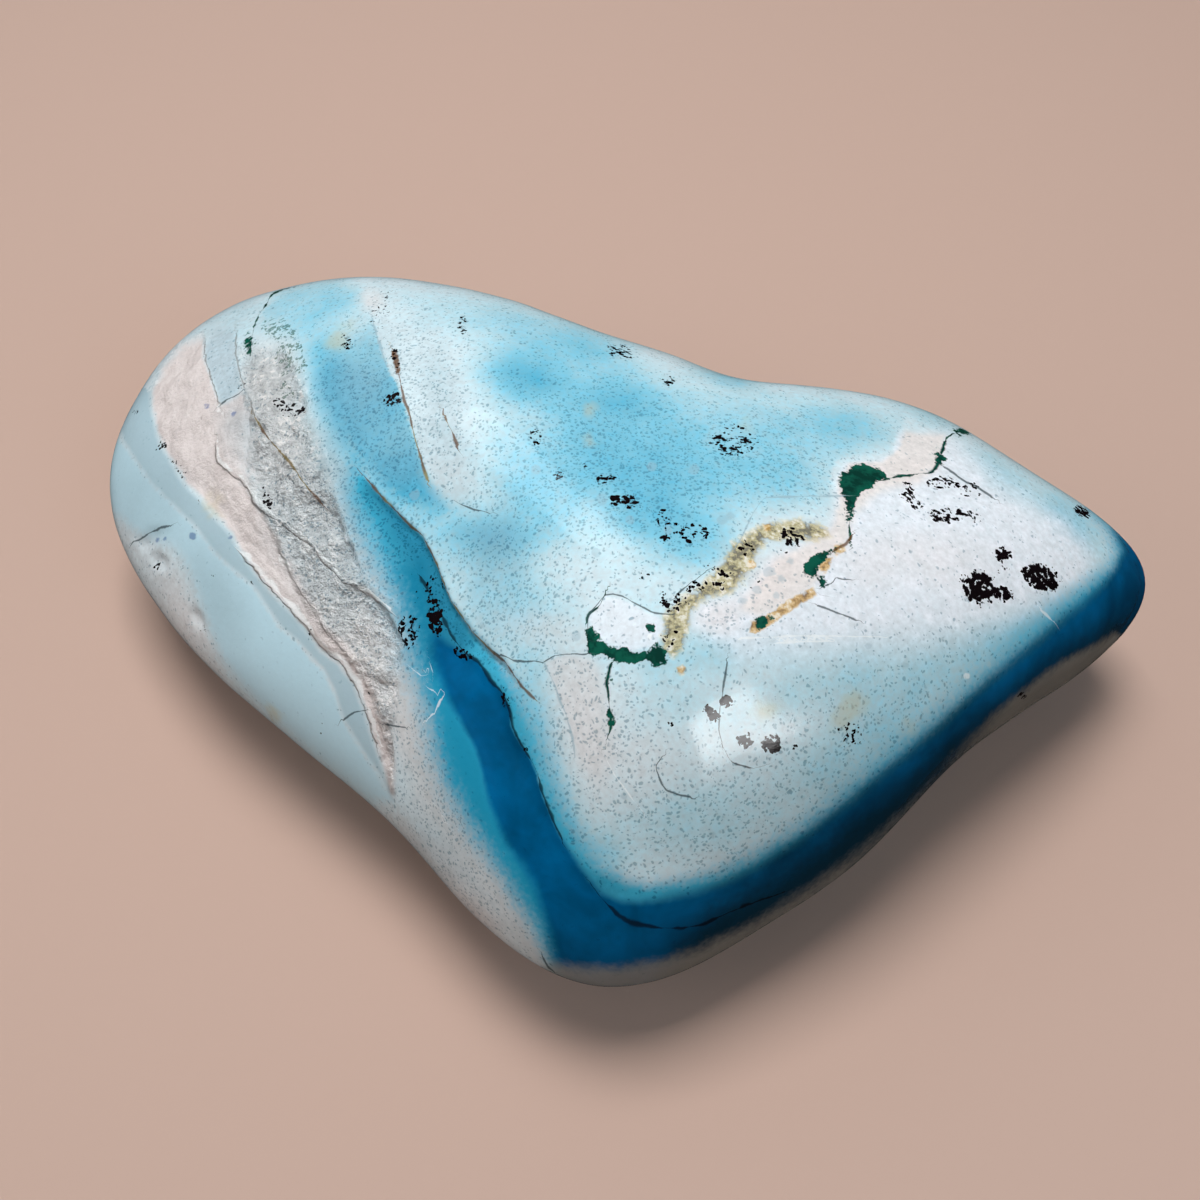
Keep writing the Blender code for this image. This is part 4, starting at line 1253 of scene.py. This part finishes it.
def edgeMask(tree, grain, name, waver, grit):
    # mask of a zone, by the softEdge group
    return useGroup(tree, "softEdge", {
        "Edge": fieldVector(tree, name), "Coarse": grain["coarse"], "Fine": grain["fine"], "Waver": waver,
        "Grit": grit,
    })


def lineMask(tree, grain, name, width, waver, breaks, offset=0.0):
    # mask of a group of lines, by the thinLine group
    return useGroup(tree, "thinLine", {
        "Line": fieldVector(tree, name), "Wander": grain["middling"], "Vary": grain["vary"], "Width": width,
        "Waver": waver, "Breaks": breaks, "Offset": offset,
    })


def fillMask(tree, grain, name, waver, soft=1.0):
    # mask of fills or spots: signed distance, made ragged by noise, through a smooth step
    ragged = maths(tree, "MULTIPLY_ADD", grain["fine"], stoneFinish["fineRagged"], grain["middling"])
    moved = maths(tree, "MULTIPLY_ADD", ragged, waver, fieldValue(tree, name))
    return smoothRange(tree, moved, -soft, soft)


def tintMask(tree, grain, name, mottling=None):
    # a soft tint with its edge broken up by mottling, and none where the tint is none
    amount = fieldValue(tree, name)
    if mottling is None:
        return amount
    broken = maths(tree, "MULTIPLY_ADD", grain["mottle"], mottling, amount)
    return maths(tree, "MULTIPLY", broken, smoothRange(tree, amount, 0.02, 0.2), clamp=True)


def layer(tree, mask, strength, under, over):
    # lays a colour over another where the mask is, up to its strength
    over = tint(over) if isinstance(over, str) else over
    return blendColour(tree, maths(tree, "MULTIPLY", mask, strength), under, over)


def either(tree, *masks):
    # the highest of several masks
    highest = masks[0]
    for mask in masks[1:]:
        highest = maths(tree, "MAXIMUM", highest, mask)
    return highest


def paintOver(tree, grain, colour, paint, masks):
    # lays each zone or tint over the colour in turn, and keeps its mask by name
    for name, (tone, strength, *numbers) in paint.items():
        makeMask = tintMask if name.endswith("Tint") else edgeMask
        mask = makeMask(tree, grain, name, *numbers)
        if name == "plateau":   # its white is patchy
            patches = stoneFinish["plateauPatches"]
            patchy = maths(tree, "MULTIPLY_ADD", grain["middling"], *patches, clamp=True)
            mask = maths(tree, "MULTIPLY", mask, patchy)
        if not isinstance(tone, str):
            tone = colourRamp(tree, maths(tree, "ADD", grain["mottle"], 0.5), tone)
        colour = layer(tree, mask, strength, colour, tone)
        masks[name] = mask
    return colour


def layeredColour(tree, grain, masks):
    # the ground's blue, then the zones, and the pale ground on the side that the photograph doesn't show
    look = stoneFinish
    blues = []
    for name, numbers in look["blueEdges"].items():
        amount = fieldValue(tree, name.replace("Zone", "") + "Tint")
        blues.append(maths(tree, "MULTIPLY", edgeMask(tree, grain, name, *numbers), amount))
    blue = maths(tree, "ADD", either(tree, *blues), fieldValue(tree, "turquoiseTint"))
    for name, share in look["groundClouds"].items():
        blue = maths(tree, "MULTIPLY_ADD", grain[name], share, blue)
    colour = colourRamp(tree, blue, look["ground"])
    colour = paintOver(tree, grain, colour, look["lowPaint"], masks)
    # painted highlights on the worn grain, then painted shade in its pits
    crumbs = maths(tree, "MULTIPLY_ADD", grain["fine"], look["crumbFine"], grain["middling"])
    for name, ends in (("crumbs", (0.0, 1.0)), ("pitShade", (1.0, 0.0))):
        low, high, strength, tone = look[name]
        mask = maths(tree, "MULTIPLY", smoothRange(tree, crumbs, low, high, *ends), fieldValue(tree, "worn"))
        colour = layer(tree, mask, strength, colour, tone)
    colour = paintOver(tree, grain, colour, look["topPaint"], masks)
    hidden = maths(tree, "MULTIPLY_ADD", grain["mottle"], *look["hiddenMottle"])
    hidden = colourRamp(tree, hidden, look["hiddenGround"])
    return blendColour(tree, fieldValue(tree, "onward"), hidden, colour)


def speckledColour(tree, grain, colour, masks):
    # grain and specks: many fine ones in the blue and grey ground, few in the smooth layers and the plateau
    look = stoneFinish
    smooth = either(tree, *[masks[name] for name in look["smoothLayers"]])
    shade = 1.0
    for name, share in look["shade"].items():
        shade = maths(tree, "MULTIPLY_ADD", grain[name], share, shade)
    grainy = maths(tree, "MULTIPLY_ADD", smooth, look["smoothShade"], 1.0)
    colour = put(tree, "ShaderNodeHueSaturation", {2: shade, 3: grainy, 4: colour}).outputs[0]
    byTint, everywhere, calmPlateau = look["speckPlaces"]
    calm = either(tree, smooth, maths(tree, "MULTIPLY", masks["plateau"], calmPlateau))
    few = maths(tree, "MULTIPLY_ADD", calm, -everywhere, everywhere)
    amount = maths(tree, "SUBTRACT", fieldValue(tree, "speckledTint"), smooth, clamp=True)
    amount = maths(tree, "MULTIPLY_ADD", amount, byTint, few)
    dots = []
    for cell, share, size, strength in look["specks"]:
        share = maths(tree, "MULTIPLY", amount, share)
        dot = useGroup(tree, "specks", {"Place": grain["place"], "Cell": cell, "Share": share, "Size": size})
        dots.append(maths(tree, "MULTIPLY", dot, strength))
    speckled = blendColour(tree, 1.0, colour, tint(look["speckTone"]), "MULTIPLY")
    colour = layer(tree, either(tree, *dots), look["speckStrength"], colour, speckled)
    waver, strength, tone = look["facetGrey"]
    return layer(tree, fillMask(tree, grain, "facetGreySpots", waver), strength, colour, tone)


def markedColour(tree, grain, colour):
    # stains, earthy bands, green veins, seams, cracks, painted shadow along the ledges, then white scratches
    # and pebbles with painted highlights on the ledges' rims and on glints, then the dark tufts and moss
    look = stoneFinish
    stain = look["stain"]
    spot = fieldValue(tree, "stainSpots")
    ragged = spot
    for name in ("mottle", "middling"):
        ragged = maths(tree, "MULTIPLY_ADD", grain[name], stain[name], ragged)
    reach = smoothRange(tree, spot, *stain["reach"])
    mask = maths(tree, "MULTIPLY", smoothRange(tree, ragged, *stain["edge"]), reach)
    colour = layer(tree, mask, stain["strength"], colour, stain["tone"])
    tones = {}
    for name, spread in look["spreads"].items():
        tones[name] = colourRamp(tree, maths(tree, "MULTIPLY_ADD", grain["crumbs"], spread, 0.5), look[name])
    for name in ("greens", "seams"):
        cloudiness, low, high, *codes = look[name]
        share = smoothRange(tree, grain[cloudiness], low, high)
        tones[name] = blendColour(tree, share, *[tint(code) for code in codes])
    for strength, tone, parts in look["marks"]:
        masks = []
        for name, (share, *numbers) in parts.items():
            makeMask = lineMask if name.endswith("Lines") else fillMask
            masks.append(maths(tree, "MULTIPLY", makeMask(tree, grain, name, *numbers), share))
        colour = layer(tree, either(tree, *masks), strength, colour, tones.get(tone, tone))
    inky, mossy = fieldValue(tree, "dendrites"), fieldValue(tree, "moss")
    branch = maths(tree, "MULTIPLY", grain["crumbs"], look["branching"])
    density = maths(tree, "MAXIMUM", inky, mossy)
    tuft = useGroup(tree, "dendrite", {"Place": grain["place"], "Density": density, "Branch": branch})
    mossy = maths(tree, "GREATER_THAN", mossy, inky)
    fainter = maths(tree, "MULTIPLY_ADD", mossy, -look["mossFaintness"], 1.0)
    tuftTone = blendColour(tree, mossy, *[tint(code) for code in look["tufts"]])
    return layer(tree, maths(tree, "MULTIPLY", tuft, fainter), 1.0, colour, tuftTone)


def fineRelief(tree):
    # grit, strong in the worn zones and weak on the polish, and a ragged lip along each ledge
    look = stoneFinish
    grit = noise(tree, *look["grit"])
    height = maths(tree, "MULTIPLY", grit, maths(tree, "ADD", fieldValue(tree, "worn"), look["polishedGrit"]))
    for name, lip in look["lips"].items():
        distance, along, present = split(tree, fieldVector(tree, name))
        across = maths(tree, "MULTIPLY_ADD", grit, look["lipWaver"], distance)
        rise = smoothRange(tree, across, *look["lipPlace"], lip, 0.0)
        height = maths(tree, "MULTIPLY_ADD", rise, present, height)
    return put(tree, "ShaderNodeBump", {"Height": height, **look["bump"]}).outputs["Normal"]


def chrysocollaMaterial():
    # layers of colour from the ground up, then gloss and fine relief
    look = stoneFinish
    material = bpy.data.materials.new("polishedChrysocolla")
    material.use_nodes = True
    tree = material.node_tree
    tree.nodes.clear()
    grain = grainValues(tree)
    masks = {}
    colour = layeredColour(tree, grain, masks)
    colour = speckledColour(tree, grain, colour, masks)
    colour = markedColour(tree, grain, colour)
    dull = [maths(tree, "MULTIPLY", masks[name], share) for name, share in look["dull"].items()]
    worn = either(tree, *dull)
    gloss = maths(tree, "MULTIPLY_ADD", worn, look["wornPolish"] - look["polish"], look["polish"])
    gloss = maths(tree, "MULTIPLY_ADD", grain["fine"], look["glossGrain"], gloss)
    coat = maths(tree, "MULTIPLY_ADD", worn, -look["coat"], look["coat"])
    shader = put(tree, "ShaderNodeBsdfPrincipled", {
        "Base Color": colour, "Roughness": gloss, "Coat Weight": coat, "Normal": fineRelief(tree),
        "Coat Roughness": look["coatRoughness"], "IOR": look["refraction"], "Metallic": 0.0,
        "Specular IOR Level": look["mirror"],
    })
    put(tree, "ShaderNodeOutputMaterial", {"Surface": shader.outputs[0]})
    return material


floorFinish = dict(colour="B79B8D", size=1.6, roughness=0.85)   # size in m


def buildFloor():
    # one plain pale square on the table's plane
    half = floorFinish["size"] / 2.0
    corners = [(-half, -half, 0.0), (half, -half, 0.0), (half, half, 0.0), (-half, half, 0.0)]
    mesh = bpy.data.meshes.new("paleFloor")
    mesh.from_pydata(corners, [], [(0, 1, 2, 3)])
    material = bpy.data.materials.new("paleFloor")
    material.use_nodes = True
    shader = material.node_tree.nodes["Principled BSDF"]
    shader.inputs["Base Color"].default_value = tint(floorFinish["colour"])
    shader.inputs["Roughness"].default_value = floorFinish["roughness"]
    mesh.materials.append(material)
    floor = bpy.data.objects.new("paleFloor", mesh)
    bpy.context.scene.collection.objects.link(floor)
    floor.visible_glossy = False   # the polish doesn't mirror the floor


studio = dict(
    lamps=dict(   # place and size in m, power in W
        overhead=dict(place=(-0.03, 0.09, 0.52), size=0.23, power=2.65, reaches="diffuse"),
        side=dict(place=(-0.46, -0.14, 0.28), size=0.3, power=0.45, reaches="diffuse"),
        backWindow=dict(place=(-0.165, 0.335, 0.48), size=0.19, power=1.5, reaches="glossy"),
        frontWindow=dict(place=(0.31, -0.39, 0.40), size=0.28, power=11.0, reaches="glossy"),
    ),
    aim=(0.0, 0.0, 0.015),      # m, the stone's middle
    skyTop=0.27,                # strength straight up
    skyLevel=0.015,             # strength at the horizon
    skyColour=(0.93, 0.96, 1.0, 1.0),
)


def addLamp(name, place, size, power, reaches):
    # a square soft light that faces the stone; it gives light to diffuse rays, or shows in the polish
    light = bpy.data.lights.new(name, "AREA")
    light.shape = "SQUARE"
    light.size = size
    light.energy = power
    lamp = bpy.data.objects.new(name, light)
    lamp.location = place
    forward = np.array(studio["aim"]) - np.array(place)
    forward /= np.linalg.norm(forward)
    lamp.rotation_euler = (np.arccos(-forward[2]), 0.0, np.arctan2(-forward[0], forward[1]))
    lamp.visible_diffuse = reaches == "diffuse"
    lamp.visible_glossy = reaches == "glossy"
    bpy.context.scene.collection.objects.link(lamp)


def buildStudio():
    # the lamps, and a sky that brightens smoothly from the horizon up
    for name, lamp in studio["lamps"].items():
        addLamp(name, **lamp)
    world = bpy.data.worlds.new("softSky")
    world.use_nodes = True
    tree = world.node_tree
    upward = split(tree, put(tree, "ShaderNodeTexCoord").outputs["Generated"])[2]
    background = tree.nodes["Background"]
    background.inputs["Color"].default_value = studio["skyColour"]
    strength = smoothRange(tree, upward, 0.0, 1.0, studio["skyLevel"], studio["skyTop"])
    tree.links.new(strength, background.inputs["Strength"])
    bpy.context.scene.world = world
    bpy.context.scene.view_settings.view_transform = "Standard"


def buildCamera():
    # the photograph's place, height of view and width of view
    sensor = 36.0   # mm
    camera = bpy.data.cameras.new("photoCamera")
    camera.sensor_width = sensor
    camera.lens = photoView["focal"] / (2.0 * photoView["middle"]) * sensor
    camera.clip_start = 0.01
    holder = bpy.data.objects.new("photoCamera", camera)
    holder.location = viewPlace() * mm
    holder.rotation_euler = (np.radians(90.0 - photoView["elevation"]), 0.0, 0.0)
    bpy.context.scene.collection.objects.link(holder)
    bpy.context.scene.camera = holder


for makeGroup in (softEdgeGroup, thinLineGroup, speckGroup, dendriteGroup):
    makeGroup()
print("node groups made")
stone = buildStone()
print("stone made:", len(stone.data.vertices), "vertices")
stone.data.materials.append(chrysocollaMaterial())
print("finish made")
buildFloor()
buildStudio()
buildCamera()
print("floor, lights and camera made")

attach(stone, "root")
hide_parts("stone")
